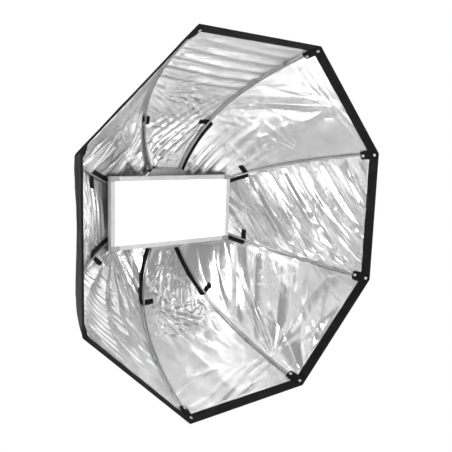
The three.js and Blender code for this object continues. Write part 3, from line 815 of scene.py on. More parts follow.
@dataclass(frozen=True)
class BowlShape:
    """The rib curve and the eight flat sides between the ribs."""

    front: float
    axis_height: float
    rim_radius: float = 0.75
    depth: float = 0.655
    rod_start: float = 0.17
    rear_fullness: tuple[float, float] = (0.64, 1.0)
    front_fullness: tuple[float, float] = (0.85, 0.52)
    skin: float = 0.002
    webbing: float = 0.0016
    rod_radius: float = 0.004
    fit: float = 0.0003
    rod_clearance: float = 0.0012
    skin_rear_radius: float = 0.205
    strap_length: float = 0.262
    loose_rib: int = 2
    loose_height: float = 0.018
    tuck_height: float = 0.0062

    @cached_property
    def rod_lift(self) -> float:
        """The lift of a rod's middle."""
        under = self.skin / 2 + self.webbing + 2 * self.fit + self.rod_radius
        return under / FLAT_SHARE + self.rod_clearance

    @cached_property
    def table(self) -> tuple[np.ndarray, np.ndarray, np.ndarray]:
        """Arc length, places and directions of the cubic Bezier from the hub to the rim."""
        t = np.linspace(0, 1, 1201)[:, None]
        ends = [
            (self.rod_start, self.depth),
            (self.rim_radius * self.rear_fullness[0], self.depth * self.rear_fullness[1]),
            (self.rim_radius * self.front_fullness[0], self.depth * self.front_fullness[1]),
            (self.rim_radius - self.rod_lift - self.webbing, 0.0),
        ]
        a, b, c, d = (np.array(p)[None] for p in ends)
        s = 1 - t
        places = s**3 * a + 3 * s * s * t * b + 3 * s * t * t * c + t**3 * d
        heading = 3 * s * s * (b - a) + 6 * s * t * (c - b) + 3 * t * t * (d - c)
        steps = np.linalg.norm(np.diff(places, axis=0), axis=1)
        return np.concatenate([[0], np.cumsum(steps)]), places, unit(heading)

    @cached_property
    def length(self) -> float:
        """The rib's length."""
        return float(self.table[0][-1])

    @cached_property
    def skin_rear(self) -> float:
        """How far along the rear edge of the cloth is."""
        along = np.linspace(0, self.length, 2000)
        radius, _ = self.curve(along, np.zeros_like(along))
        return float(np.interp(-self.skin_rear_radius, -radius, along))

    def curve(self, along: np.ndarray, lift: np.ndarray) -> tuple[np.ndarray, np.ndarray]:
        """Radius and depth of a place: the rod's curve moved by (lift - rod lift) inwards."""
        arc, places, heading = self.table
        from_hub = np.clip(self.length - along, 0, self.length)
        radius, depth = (np.interp(from_hub, arc, places[:, i]) for i in (0, 1))
        out, back = (np.interp(from_hub, arc, heading[:, i]) for i in (0, 1))
        move = lift - self.rod_lift
        return radius + back * move, depth - out * move

    @cached_property
    def tab_start(self) -> float:
        """How far along the front edge of the tabs is."""
        return self.skin_rear - self.strap_length

    def bulge(self, rib: int, past: np.ndarray, along: np.ndarray) -> np.ndarray:
        """How far the loose cloth, and the tab on it, stand up just past one of the ribs."""
        if rib != self.loose_rib:
            return np.zeros(np.broadcast(past, along).shape)
        rise = smooth_step(0.004, 0.05, past) * (1 - smooth_step(0.07, 0.16, past))
        front = smooth_step(self.tab_start - 0.09, self.tab_start + 0.01, along)
        return self.loose_height * rise * front * smooth_step(0, 0.05, self.skin_rear - along)

    def half_width(self, along: np.ndarray, lift: np.ndarray) -> np.ndarray:
        """Half the width of a side."""
        return self.curve(along, lift)[0] * HALF_SHARE

    def placed(
        self, angle: np.ndarray, out: np.ndarray, over: np.ndarray, depth: np.ndarray
    ) -> np.ndarray:
        """Points `out` from the axis at an angle, `over` square to that, at a depth."""
        x = out * np.cos(angle) - over * np.sin(angle)
        z = out * np.sin(angle) + over * np.cos(angle) + self.axis_height
        return np.stack(np.broadcast_arrays(x, self.front + depth, z), axis=-1)

    def on_side(
        self, side: object, across: np.ndarray, along: np.ndarray, lift: np.ndarray
    ) -> np.ndarray:
        """Points on a side, whose middle is at side x 45 degrees."""
        radius, depth = self.curve(along, lift)
        return self.placed(np.asarray(side) * SIDE_ANGLE, radius * FLAT_SHARE, across, depth)

    def at_rib(self, rib: int, over: np.ndarray, along: np.ndarray, lift: np.ndarray) -> np.ndarray:
        """Points near a rib, `over` from the rib's plane."""
        radius, depth = self.curve(along, lift)
        return self.placed((rib + 0.5) * SIDE_ANGLE, radius, over, depth)

    def beside_rib(self, rib: int, past: np.ndarray, along: np.ndarray, lift: np.ndarray) -> np.ndarray:
        """Points on the cloth `past` the rib, on the side before it where `past` is below 0."""
        half = self.half_width(along, lift)
        side = np.where(past < 0, rib, rib + 1)
        across = np.where(past < 0, half + past, past - half)
        return self.on_side(side, across, along, lift)


# ---- Folds ---------------------------------------------------------------------------------


def turned(right: np.ndarray, back: np.ndarray, heading: float) -> tuple[np.ndarray, np.ndarray]:
    """Distances along a direction and square to it, `heading` degrees from the across line."""
    turn = math.radians(heading)
    c, s = math.cos(turn), math.sin(turn)
    return right * c + back * s, back * c - right * s


def crest(x: np.ndarray) -> np.ndarray:
    """Sharp ridges at whole numbers and round valleys between: 1 - |sin(pi x)|, less its mean."""
    return 1 - np.abs(np.sin(np.pi * x)) - 0.36


@dataclass(frozen=True)
class FoldRun:
    """Near-parallel folds in an oval patch of a side."""

    across: float
    along: float
    wide: float
    long: float
    heading: float
    pitch: float
    height: float
    waver: float = 0.35

    def lift(self, a: np.ndarray, b: np.ndarray, seed: int) -> np.ndarray:
        """Height x patch x crest, with the folds at `heading` degrees from the across line."""
        run, over = turned(a - self.across, b - self.along, self.heading)
        drift = lattice_noise(run * 0.25, over * 0.6, 1.8 * self.pitch, seed)
        over = over + self.waver * self.pitch * drift
        swell = 0.8 + 0.5 * lattice_noise(run * 0.15, over, 1.1 * self.pitch, seed + 1)
        patch = np.exp(-((run / self.wide) ** 2) - (over / self.long) ** 2)
        return self.height * patch * swell * crest(over / self.pitch)


@dataclass(frozen=True)
class FoldFan:
    """Folds that run out from one point."""

    across: float
    along: float
    heading: float
    spread: float
    count: float
    height: float
    reach: float
    near: float = 0.05

    def lift(self, a: np.ndarray, b: np.ndarray, seed: int) -> np.ndarray:
        """Height x crest of the bearing, rising from the point and fading at the reach."""
        da, db = a - self.across, b - self.along
        far = np.hypot(da, db)
        run, over = turned(da, db, self.heading)
        share = np.arctan2(over, run) / math.radians(self.spread)
        share = share + 0.03 * lattice_noise(a, b, 0.16, seed)
        rise = far / (far + self.near) * np.exp(-((far / self.reach) ** 2))
        patch = np.exp(-((share * 1.6) ** 4))
        swell = 0.8 + 0.4 * lattice_noise(a, b, 0.11, seed + 1)
        return self.height * rise * patch * swell * crest(share * self.count)


@dataclass(frozen=True)
class Crumple:
    """Short straight creases strewn over a side."""

    count: int
    height: float
    heading: float
    scatter: float
    length: float = 0.09
    width: float = 0.011
    low: float = 0.04
    high: float = 0.9

    def lift(self, a: np.ndarray, b: np.ndarray, seed: int) -> np.ndarray:
        """Each crease is height x exp(-|distance| / width), faded to its ends."""
        draw = np.random.default_rng(seed)
        total = np.zeros_like(a)
        for _ in range(self.count):
            along = draw.uniform(self.low, self.high)
            across = draw.uniform(-1, 1) * (0.27 - 0.2 * along)
            heading = self.heading + draw.normal(0, self.scatter)
            size = self.height * draw.uniform(-1, 1)
            length = self.length * draw.uniform(0.5, 1.6)
            width = self.width * draw.uniform(0.6, 1.8)
            run, over = turned(a - across, b - along, heading)
            over = over + 0.6 * run * run
            total += size * np.exp(-np.abs(over) / width - (run / length) ** 4)
        return total


SIDE_FOLDS = (
    # right
    (
        FoldRun(-0.02, 0.33, 0.55, 0.34, 35, 0.085, 0.02, 0.1),
        FoldRun(0.02, 0.3, 0.5, 0.3, 38, 0.04, 0.0035, 0.1),
        FoldRun(-0.12, 0.1, 0.3, 0.09, 45, 0.04, 0.008, 0.2),
        FoldFan(-0.27, 0.02, 75, 60, 4, 0.009, 0.4),
        Crumple(60, 0.0036, 36, 9, 0.2, 0.006),
        Crumple(50, 0.0026, 120, 30, 0.03, 0.005, 0.05, 0.5),
    ),
    # upper right
    (
        FoldRun(0.12, 0.33, 0.5, 0.045, 66, 0.13, 0.013, 0.2),
        FoldFan(-0.19, 0.34, 20, 50, 3, 0.009, 0.18),
        FoldRun(0.0, 0.07, 0.3, 0.05, 8, 0.03, 0.004),
        Crumple(40, 0.0026, 70, 45, 0.07, 0.012),
        FoldRun(-0.02, 0.72, 0.2, 0.1, 100, 0.045, 0.009, 0.25),
        Crumple(60, 0.0017, 30, 70, 0.035, 0.006, 0.3, 0.95),
    ),
    # top
    (
        FoldRun(0.0, 0.24, 0.45, 0.2, -6, 0.07, 0.013, 0.2),
        FoldRun(-0.03, 0.55, 0.2, 0.12, -40, 0.04, 0.006),
        FoldFan(0.18, 0.5, 200, 70, 4, 0.007, 0.3),
        FoldRun(0.0, 0.74, 0.2, 0.1, 55, 0.04, 0.01, 0.25),
        Crumple(50, 0.003, 55, 30, 0.07, 0.006, 0.58, 0.95),
        Crumple(50, 0.0034, -10, 16, 0.13, 0.007),
    ),
    # upper left
    (
        FoldRun(0.0, 0.13, 0.45, 0.12, 3, 0.034, 0.008, 0.2),
        FoldFan(0.0, 0.74, 235, 80, 5, 0.01, 0.5),
        Crumple(60, 0.0036, 10, 18, 0.13, 0.007),
    ),
    # left
    (
        FoldRun(0.0, 0.3, 0.5, 0.35, 2, 0.04, 0.009, 0.2),
        FoldRun(0.05, 0.62, 0.3, 0.15, 12, 0.03, 0.006),
        Crumple(56, 0.0038, 0, 14, 0.13, 0.007),
    ),
    # lower left
    (
        FoldFan(-0.08, 0.78, 285, 90, 6, 0.016, 0.85),
        FoldRun(0.02, 0.22, 0.5, 0.2, -24, 0.04, 0.009, 0.15),
        Crumple(60, 0.0036, -30, 20, 0.13, 0.007),
    ),
    # bottom
    (
        FoldFan(-0.13, 0.62, 300, 70, 4, 0.01, 0.4),
        FoldFan(0.15, 0.6, 230, 60, 3, 0.009, 0.35),
        FoldRun(0.0, 0.6, 0.2, 0.03, 0, 0.05, 0.009),
        FoldRun(0.0, 0.74, 0.16, 0.1, 70, 0.04, 0.009, 0.3),
        Crumple(40, 0.0034, 75, 50, 0.06, 0.007, 0.6, 0.95),
        FoldRun(0.0, 0.1, 0.35, 0.07, 20, 0.045, 0.008),
        Crumple(110, 0.004, 30, 70, 0.055, 0.008),
    ),
    # lower right
    (
        FoldFan(-0.245, 0.19, 28, 80, 3, 0.028, 0.7, 0.12),
        FoldFan(-0.3, -0.04, 55, 60, 2, 0.024, 0.9, 0.12),
        FoldRun(0.05, 0.5, 0.3, 0.2, 35, 0.09, 0.012, 0.12),
        Crumple(30, 0.003, 50, 10, 0.26, 0.006),
        Crumple(30, 0.0018, 60, 60, 0.035, 0.005, 0.1, 0.6),
    ),
)


@dataclass
class Lining:
    """The eight sewn sides of the bowl, silver inside and black outside."""

    bowl: BowlShape
    finishes: Finishes
    columns: int = 108
    rows: int = 172
    half_thickness: float = 0.0006
    front_gap: float = 0.0019
    bow: float = 0.009
    seam_line: float = 0.009
    tab_reach: float = 0.055
    band_reach: float = 0.046
    edge_crowding: float = 0.92  # below 1, the columns are closer spaced at the ribs
    pattern_shift: tuple[float, float] = (0.71, 1.3)

    def folds(self, side: int, across: np.ndarray, along: np.ndarray, edge: np.ndarray) -> np.ndarray:
        """The side's lift: an inward bow, its folds and fine creases, calmed at ribs and tape.

        Args:
            side: The side's number.
            across: Distance from its middle line.
            along: Distance from the front edge.
            edge: Distance from the nearer rib.

        Returns:
            The lift at each point.
        """
        seed = 100 * side + 7
        raw = sum(f.lift(across, along, seed + 10 * i) for i, f in enumerate(SIDE_FOLDS[side]))
        raw = raw + 0.0009 * lattice_noise(across, along, 0.07, seed + 5)
        raw = raw + 0.0003 * lattice_noise(across, along, 0.024, seed + 6)
        calm = smooth_step(0.012, self.tab_reach, edge)
        calm = calm * smooth_step(self.band_reach, self.band_reach + 0.03, along)
        soft = smooth_step(0.002, 0.02, edge) * smooth_step(0.004, 0.03, along)
        rear = smooth_step(0.0, 0.05, self.bowl.skin_rear - along)
        waves = np.where(raw > 0, raw * calm, raw * soft) * rear
        span = edge / (edge + np.abs(across) + 1e-6)
        bow = self.bow * np.sin(np.pi * np.clip(span, 0, 1) / 2) ** 2
        bow = bow * np.sin(np.pi * np.clip(along / self.bowl.skin_rear, 0, 1)) ** 0.8
        seam = -0.0005 * np.exp(-(((edge - self.seam_line) / 0.0016) ** 2))
        return waves + bow * calm + seam + self.loose(side, across, along, edge)

    def loose(self, side: int, across: np.ndarray, along: np.ndarray, edge: np.ndarray) -> np.ndarray:
        """The cloth that rides over one rib's strap, and bulges on the rib's far side."""
        bowl = self.bowl
        if side == bowl.loose_rib + 1:
            return np.where(across < 0, bowl.bulge(bowl.loose_rib, edge, along), 0.0)
        if side != bowl.loose_rib:
            return np.zeros_like(across)
        cover = smooth_step(0.001, 0.0045, edge) * (1 - smooth_step(0.026, 0.05, edge))
        front = smooth_step(bowl.tab_start + 0.03, bowl.tab_start + 0.06, along)
        rear = smooth_step(0.0, 0.012, bowl.skin_rear - along)
        return np.where(across > 0, bowl.tuck_height * cover * front * rear, 0.0)

    def make(self) -> list[bpy.types.Object]:
        bowl = self.bowl
        share = np.linspace(-1, 1, self.columns + 1)
        share = np.sign(share) * np.abs(share) ** self.edge_crowding
        along = np.linspace(self.front_gap, bowl.skin_rear, self.rows + 1)
        u, b = np.meshgrid(share, along)
        half = bowl.half_width(b, np.zeros_like(b))
        across = u * half
        edge = half - np.abs(across)
        coords = np.stack([across, b], axis=-1)
        made = []
        for side in range(SIDES):
            lift = self.folds(side, across, b, edge)
            top = bowl.on_side(side, across, b, lift + self.half_thickness)
            bottom = bowl.on_side(side, across, b, lift - self.half_thickness)
            surface = Surface()
            shift = side * np.array(self.pattern_shift)
            surface.add_cloth(top, bottom, coords + shift, tints=(0, 1, 1))
            name = f"gore_panel_{side + 1}"
            materials = [self.finishes.lining, self.finishes.shell]
            panel = surface.piece(name, Body.SOFTBOX, Slot.LINING, materials, 70)
            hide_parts(f"skin_gore_{side + 1}")
            made.append(panel)
        return made

    def declare(self, panels: list[bpy.types.Object]) -> None:
        """Works out the length, widest width and area of a side, a panel tapering from the rim's width
        to the hub's; nothing is done with them.
        """
        along = np.linspace(self.front_gap, self.bowl.skin_rear, 200)
        half = self.bowl.half_width(along, np.zeros_like(along))
        length = float(self.bowl.skin_rear - self.front_gap)
        width = float(2 * half.max())
        area = float(2 * half.mean() * length)


@dataclass
class Stitching:
    """Rows of short stitches that stand on the cloth."""

    length: float = 0.0032
    radius: float = 0.00042

    def add_to(self, surface: Surface, starts: np.ndarray, ends: np.ndarray, normal: np.ndarray) -> None:
        """Adds a stitch between each pair of points: a four-sided bead with pointed ends.

        Args:
            surface: What they are added to.
            starts: One end of each stitch.
            ends: The other end.
            normal: The way off the cloth.
        """
        way = ends - starts
        over = unit(np.cross(way, normal))
        ring = np.array([(1, 0), (0, 1), (-1, 0), (0, -1)]) * self.radius
        lifted = normal * self.radius * 0.7
        rings = [
            starts[:, None] + way[:, None] * at + (over[:, None] * ring[None, :, :1])
            + normal[:, None] * ring[None, :, 1:] + lifted[:, None]
            for at in (0.2, 0.8)
        ]
        tips = [starts[:, None] - lifted[:, None], ends[:, None] - lifted[:, None]]
        points = np.concatenate([tips[0], rings[0], rings[1], tips[1]], axis=1)
        number = (np.arange(len(starts)) * 10)[:, None, None]
        i = np.arange(4)
        j = (i + 1) % 4
        body = np.stack([1 + i, 5 + i, 5 + j, 1 + j], axis=-1)[None] + number
        caps = np.concatenate(
            [
                np.stack([0 * i, 1 + i, 1 + j], axis=-1),
                np.stack([0 * i + 9, 5 + j, 5 + i], axis=-1),
            ]
        )
        caps = caps[None] + number
        coords = np.zeros((len(points.reshape(-1, 3)), 2))
        surface.add(points, coords, [body.reshape(-1, 4), caps.reshape(-1, 3)], THREAD)

    def sew(self, surface: Surface, place: Callable, starts: tuple, ends: tuple, rise: float) -> None:
        """Adds a row of stitches on a piece of cloth.

        Args:
            surface: What they are added to.
            place: Gives points from two coordinates and a distance off the row's level.
            starts: The two coordinates of each stitch's start.
            ends: Those of its end.
            rise: A small distance, below 0 on the outside of the bowl.
        """
        first = place(*starts, 0.0)
        self.add_to(surface, first, place(*ends, 0.0), unit(place(*starts, rise) - first))


@dataclass
class EdgeBand:
    """The loop tape that folds over the front edge, with two rows of stitching."""

    bowl: BowlShape
    finishes: Finishes
    inside: float = 0.042
    outside: float = 0.016
    middle_lift: float = 0.0021
    steps: int = 72
    stitch_rows: tuple[float, float, float] = (0.006, 0.038, 0.012)  # the last is outside
    stitch_pitch: float = 0.005
    front_gap: float = 0.0008

    def profile(self) -> tuple[np.ndarray, np.ndarray, np.ndarray]:
        """Along, lift and length of the tape's middle, from its inner edge round to its hem."""
        near = self.front_gap + self.middle_lift
        turn = np.linspace(0, np.pi, 9)
        legs = np.linspace(self.inside, near, 16)[:-1]
        hem = np.linspace(near, self.outside, 7)[1:]
        along = np.concatenate([legs, near - self.middle_lift * np.sin(turn), hem])
        lift = np.concatenate(
            [
                np.full(len(legs), self.middle_lift),
                self.middle_lift * np.cos(turn),
                np.full(len(hem), -self.middle_lift),
            ]
        )
        steps = np.hypot(np.diff(along), np.diff(lift))
        return along, lift, np.concatenate([[0], np.cumsum(steps)])

    def make(self) -> bpy.types.Object:
        """Carries the folded profile round the octagon, with a slightly uneven inner edge."""
        bowl = self.bowl
        side, share = rim_shares(self.steps)
        along, lift, run = self.profile()
        s, a = np.meshgrid(side, along)
        u = np.broadcast_to(share, s.shape)
        level = np.broadcast_to(lift[:, None], s.shape)
        where = (side + share / 2 + 0.5) * 0.58
        place = np.broadcast_to(where, s.shape)
        pucker = 0.00035 * lattice_noise(place, a, 0.03, 901)
        reach = np.where(level > 0, smooth_step(0.01, self.inside, a), 0)
        a = a + 0.0009 * reach * lattice_noise(place, 0 * place, 0.05, 902)
        half_cloth = bowl.webbing / 2
        turn = np.clip(level / self.middle_lift, -1, 1)
        near = self.front_gap + self.middle_lift
        fold = (a <= near + 1e-6) & (np.abs(turn) < 0.999)
        front = np.where(fold, np.sqrt(np.clip(1 - turn**2, 0, 1)), 0)
        layers = []
        for sign in (1, -1):
            lifts = level + sign * half_cloth * turn + np.sign(level) * np.maximum(pucker, 0)
            places = a - sign * half_cloth * front
            places = np.maximum(places, 0.0)
            half = bowl.half_width(places, lifts)
            layers.append(bowl.on_side(s, u * half, places, lifts))
        coords = np.stack([place, np.broadcast_to(run[:, None], s.shape)], axis=-1)
        surface = Surface()
        surface.add_cloth(*layers, coords, around=True)
        self.add_stitches(surface)
        materials = [self.finishes.band, self.finishes.thread]
        band = surface.piece("edge_band", Body.SOFTBOX, Slot.WEBBING, materials)
        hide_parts("front_band")
        return band

    def add_stitches(self, surface: Surface) -> None:
        """Two rows inside and one outside, a stitch every 5 mm."""
        stitch = Stitching()
        top = self.middle_lift + self.bowl.webbing / 2
        for along, lift in zip(self.stitch_rows, (top, top, -top)):
            for side in range(SIDES):
                half = float(self.bowl.half_width(np.array(along), np.array(lift))) - 0.004
                starts = np.arange(-half, half, self.stitch_pitch)
                ends = starts + stitch.length
                a = np.full_like(starts, along)

                def place(across: np.ndarray, at: np.ndarray, rise: float) -> np.ndarray:
                    """Points on this side, at the row's lift and a rise."""
                    return self.bowl.on_side(side, across, at, np.full_like(at, lift) + rise)

                rise = math.copysign(NUDGE, lift)
                stitch.sew(surface, place, (starts, a), (ends, a), rise)

    def declare(self, band: bpy.types.Object) -> None:
        length = 16 * float(self.bowl.half_width(np.array(0.01), np.array(0.0)))


@dataclass
class Ribs:
    """The bent rods, with their straps, tabs, pockets and loops."""

    bowl: BowlShape
    finishes: Finishes
    rod_tip: float = 0.013
    tip_length: float = 0.008
    tip_profile: tuple = (
        (0.0, 0.45), (0.0004, 0.66), (0.0012, 0.84), (0.0028, 0.96), (0.0045, 1.0),
    )  # back from the tip, share of the rod's radius
    rod_girth: float = 0.025
    strap_from: float = 0.003
    strap_width: float = 0.02
    tab_width: float = 0.025
    tab_reach: float = 0.048
    low: float = 0.0013
    selvage: float = 0.0014
    strap_wave: float = 0.0004
    tab_curl: float = 0.0006
    pocket_start: float = 0.003
    pocket_length: float = 0.076
    pocket_width: float = 0.042
    pocket_top: float = 0.0156
    stitch_pitch: float = 0.0048
    stitch_share: float = 0.62  # a stitch's length as a share of the pitch
    rivets: tuple[float, float] = (0.015, 0.068)
    rivet_profile: tuple = (
        (0.0062, -0.0012), (0.0066, 0.0000), (0.0063, 0.0008), (0.0056, 0.0012),
        (0.0048, 0.0010), (0.0040, 0.0011), (0.0026, 0.0017), (0.0010, 0.0020),
    )  # radius, height over the pocket's top
    loops: tuple[float, float] = (0.185, 0.345)

    def make(self) -> None:
        """Builds the pieces of each rib in turn."""
        for rib in range(SIDES):
            self.rod(rib)
            self.strap(rib)
            self.pocket(rib)
            self.rod_loops(rib)
            self.binding(rib)

    def rod(self, rib: int) -> None:
        """A round rod on the rib curve, with a blunt rounded tip.

        Its circles are over = r cos t, lift = rod lift + r sin t.
        """
        bowl = self.bowl
        end = bowl.length - bowl.fit
        back, share = np.array(self.tip_profile).T
        start = self.rod_tip + self.tip_length
        along = np.concatenate([self.rod_tip + back, np.linspace(start, end, 150)])
        radius = np.full(len(along), bowl.rod_radius)
        radius[: len(share)] *= share
        turn, r = circle(20), radius[:, None]
        level = bowl.rod_lift + r * np.sin(turn)
        rings = bowl.at_rib(rib, r * np.cos(turn), along[:, None] + 0 * turn, level)
        surface = Surface()
        coords = tube_coords(end - self.rod_tip, self.rod_girth, rings)
        surface.add(rings, coords, swept(rings))
        rod = surface.piece(f"spring_rod_{rib + 1}", Body.SOFTBOX, Slot.ROD, [self.finishes.rod])
        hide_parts(f"rib_rod_{rib + 1}")

    def web(
        self,
        surface: Surface,
        rib: int,
        place: tuple[np.ndarray, np.ndarray],
        edge: np.ndarray,
        rise: np.ndarray,
        swap: bool = False,
    ) -> None:
        """Adds a flat band of webbing on the cloth: two layers of a grid, thinner at its edges.

        Args:
            surface: What it is added to.
            rib: The rib it is beside.
            place: How far past the rib, and how far along, each point is.
            edge: Distance from the band's nearer edge.
            rise: Height of its underside over the lowest level.
            swap: Whether its threads run across the rib.
        """
        low = self.low + rise
        thick = self.bowl.webbing * (0.55 + 0.45 * smooth_step(0, self.selvage, edge))
        bottom, top = (self.bowl.beside_rib(rib, *place, level) for level in (low, low + thick))
        coords = np.stack(place if swap else place[::-1], axis=-1)
        surface.add_cloth(top, bottom, coords)

    def strap(self, rib: int) -> None:
        """The strap beside the rod, the tab across its end and a box of stitches on it."""
        bowl = self.bowl
        tab_start = bowl.tab_start
        surface = Surface()
        near, far = self.strap_from / FLAT_SHARE, (self.strap_from + self.strap_width) / FLAT_SHARE
        across = near + (far - near) * rounded_steps(13)
        along = np.linspace(tab_start + 0.002, bowl.skin_rear - bowl.fit, 60)
        p, a = np.meshgrid(-across, along)
        wave = self.strap_wave * (1 + lattice_noise(a, p * 0, 0.045, 40 + rib))
        self.web(surface, rib, (p, a), np.minimum(p + far, -p - near), wave)
        self.tab(rib, surface, tab_start, far)
        self.strap_stitches(rib, surface, tab_start, near, far)
        materials = [self.finishes.strap, self.finishes.thread]
        piece = surface.piece(f"strap_and_tab_{rib + 1}", Body.SOFTBOX, Slot.WEBBING, materials)
        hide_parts(f"rib_strap_{rib + 1}")

    def tab(self, rib: int, surface: Surface, start: float, far: float) -> None:
        """A tab that crosses under the rod and lies flat on both sides of it."""
        before = -np.linspace(far + 0.0006, 0.0, 14)
        before[-1] = -1e-6
        past = np.concatenate([before, np.linspace(0, self.tab_reach / FLAT_SHARE, 26)[1:]])
        p, a = np.meshgrid(past, start + self.tab_width * rounded_steps(13))
        edge = np.minimum(a - start, start + self.tab_width - a)
        curl = self.tab_curl * smooth_step(self.tab_width, self.tab_reach, p)
        rise = curl + 0.0005 + self.bowl.bulge(rib, p, a)
        self.web(surface, rib, (p, a), edge, rise, swap=True)

    def strap_stitches(self, rib: int, surface: Surface, start: float, near: float, far: float) -> None:
        """Two rows along the strap and a box with a cross on the free end of the tab."""
        stitch = Stitching()
        top = self.low + self.bowl.webbing + 0.0007

        def place(p: np.ndarray, a: np.ndarray, rise: float) -> np.ndarray:
            """Points over the webbing beside the rib."""
            return self.bowl.beside_rib(rib, p, a, top + rise + self.bowl.bulge(rib, p, a))

        def row(p0: float, a0: float, p1: float, a1: float) -> None:
            """A straight row of stitches between two places beside the rib."""
            count = max(2, int(math.hypot(p1 - p0, a1 - a0) / self.stitch_pitch))
            t = np.arange(count) / count
            starts, ends = (
                (p0 + (p1 - p0) * s, a0 + (a1 - a0) * s) for s in (t, t + self.stitch_share / count)
            )
            stitch.sew(surface, place, starts, ends, NUDGE)

        rear = self.bowl.skin_rear - 0.012
        for inset in (near + 0.0025, far - 0.0025):
            row(-inset, start + self.tab_width, -inset, rear)
        margin = 0.0035
        low, high = start + margin, start + self.tab_width - margin
        left, right = 0.022, self.tab_reach / FLAT_SHARE - margin
        for p0, a0, p1, a1 in (
            (left, low, right, low),
            (right, low, right, high),
            (right, high, left, high),
            (left, high, left, low),
            (left, low, right, high),
            (left, high, right, low),
        ):
            row(p0, a0, p1, a1)

    def pocket(self, rib: int) -> None:
        """A pouch over the rod's tip, sewn down on its wings and its front, with two rivets.

        Its top is skin + (top - skin) x (1 - |x|^2.6)^0.75, eased down to the cloth at the front.
        """
        bowl = self.bowl
        x = np.linspace(-1, 1, 33)
        s = np.concatenate([np.linspace(0, 0.2, 12), np.linspace(0.2, 1, 22)[1:]])
        u, v = np.meshgrid(x, s)
        half = self.pocket_width / 2 * (1 - 0.1 * v**2 - 0.12 * (1 - smooth_step(0, 0.1, v)))
        over = u * half
        along = self.pocket_start + self.pocket_length * (v + 0.02 * (1 - u**2) * (v - 0.5))
        skin = self.low + np.abs(over) * math.tan(SIDE_ANGLE / 2)
        dome = np.clip(1 - np.abs(u) ** 2.6, 0, 1) ** 0.75
        rise = smooth_step(-0.02, 0.17, v)
        rumple = 0.0006 * lattice_noise(over, along, 0.013, 60 + rib) * dome
        top = skin + 0.0012 + (self.pocket_top - skin - 0.0012) * dome * rise + rumple
        inner = np.maximum(top - 0.0016, skin + 0.0001)
        upper = bowl.at_rib(rib, over, along, top)
        lower = bowl.at_rib(rib, over, along, inner)
        surface = Surface()
        surface.add_cloth(upper, lower, np.stack([over, along], axis=-1))
        stitch = Stitching(radius=0.0004)

        def place(o: np.ndarray, a: np.ndarray, rise: float) -> np.ndarray:
            """Points over the pouch's wings."""
            level = self.low + np.abs(o) * math.tan(SIDE_ANGLE / 2) + 0.0042
            return bowl.at_rib(rib, o, a, level + rise)

        t = np.arange(0.06, 0.97, 0.062)
        a = self.pocket_start + self.pocket_length * t
        for sign in (-1, 1):
            o = sign * (self.pocket_width / 2 * (1 - 0.1 * t**2) - 0.003)
            stitch.sew(surface, place, (o, a), (o, a + stitch.length), NUDGE)
        materials = [self.finishes.pocket, self.finishes.thread]
        piece = surface.piece(f"pocket_pouch_{rib + 1}", Body.SOFTBOX, Slot.WEBBING, materials)
        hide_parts(f"corner_pocket_{rib + 1}")
        self.pocket_rivets(rib)

    def pocket_rivets(self, rib: int) -> None:
        """Two domed rivet caps: rings whose radius and height follow a rolled-edge profile."""
        r, h = np.split(np.array(self.rivet_profile), 2, axis=1)
        turn = circle(24)
        over, level = r * np.cos(turn), self.pocket_top + h + 0 * turn
        surface = Surface()
        for place in self.rivets:
            along = place + r * np.sin(turn)
            rings = self.bowl.at_rib(rib, over, along, level)
            surface.add(rings, np.stack([over, along], axis=-1), swept(rings))
        surface.piece(f"pocket_rivets_{rib + 1}", Body.SOFTBOX, Slot.ZINC, [self.finishes.rivet])

    def rod_loops(self, rib: int) -> None:
        """Two loops of elastic that hold the rod to the seam.

        Each is an arch over the rod: over = w cos t, lift = base + h sin t, 9 mm wide.
        """
        bowl = self.bowl
        surface = Surface()
        for index, place in enumerate(self.loops):
            t = np.linspace(-0.12, np.pi + 0.12, 27)
            width = np.linspace(-0.0045, 0.0045, 7)
            arch, run = np.meshgrid(t, width)
            slack = 0.0006 * index
            layers = []
            for extra in (0.0009, 0.0):
                out = bowl.rod_radius + 0.0005 + slack + extra
                over = out * 1.18 * np.cos(arch)
                base = bowl.rod_lift - 0.0008
                lift = base + out * 1.04 * np.maximum(np.sin(arch), 0)
                foot = np.maximum(-np.sin(arch), 0) + 0.6 * (1 - np.abs(np.sin(arch))) ** 3
                lift = lift - foot * 0.006
                over = over * (1 + 0.35 * (1 - np.abs(np.sin(arch))) ** 3)
                layers.append(bowl.at_rib(rib, over, place + run * (1 + 0.1 * np.sin(arch)), lift))
            surface.add_cloth(*layers, np.stack([arch * 0.005, run], axis=-1))
        surface.piece(f"rod_loops_{rib + 1}", Body.SOFTBOX, Slot.WEBBING, [self.finishes.loop])

    def binding(self, rib: int) -> None:
        """The tape that binds the seam on the outside, from the hem to the collar."""
        bowl = self.bowl
        past = np.concatenate([np.linspace(-0.009, -1e-6, 7), np.linspace(0, 0.009, 7)[1:]])
        along = np.linspace(0.017, bowl.skin_rear - 0.031, 90)
        p, a = np.meshgrid(past, along)
        edge = 0.009 - np.abs(p)
        thick = 0.0011 * (0.5 + 0.5 * smooth_step(0, 0.0016, edge))
        ruck = 0.0002 * lattice_noise(a, p, 0.02, 80 + rib)
        top = bowl.beside_rib(rib, p, a, -0.0009 + ruck)
        bottom = bowl.beside_rib(rib, p, a, -0.0009 - thick + ruck)
        surface = Surface()
        surface.add_cloth(top, bottom, np.stack([a, p], axis=-1))
        surface.piece(f"seam_binding_{rib + 1}", Body.SOFTBOX, Slot.WEBBING, [self.finishes.strap])


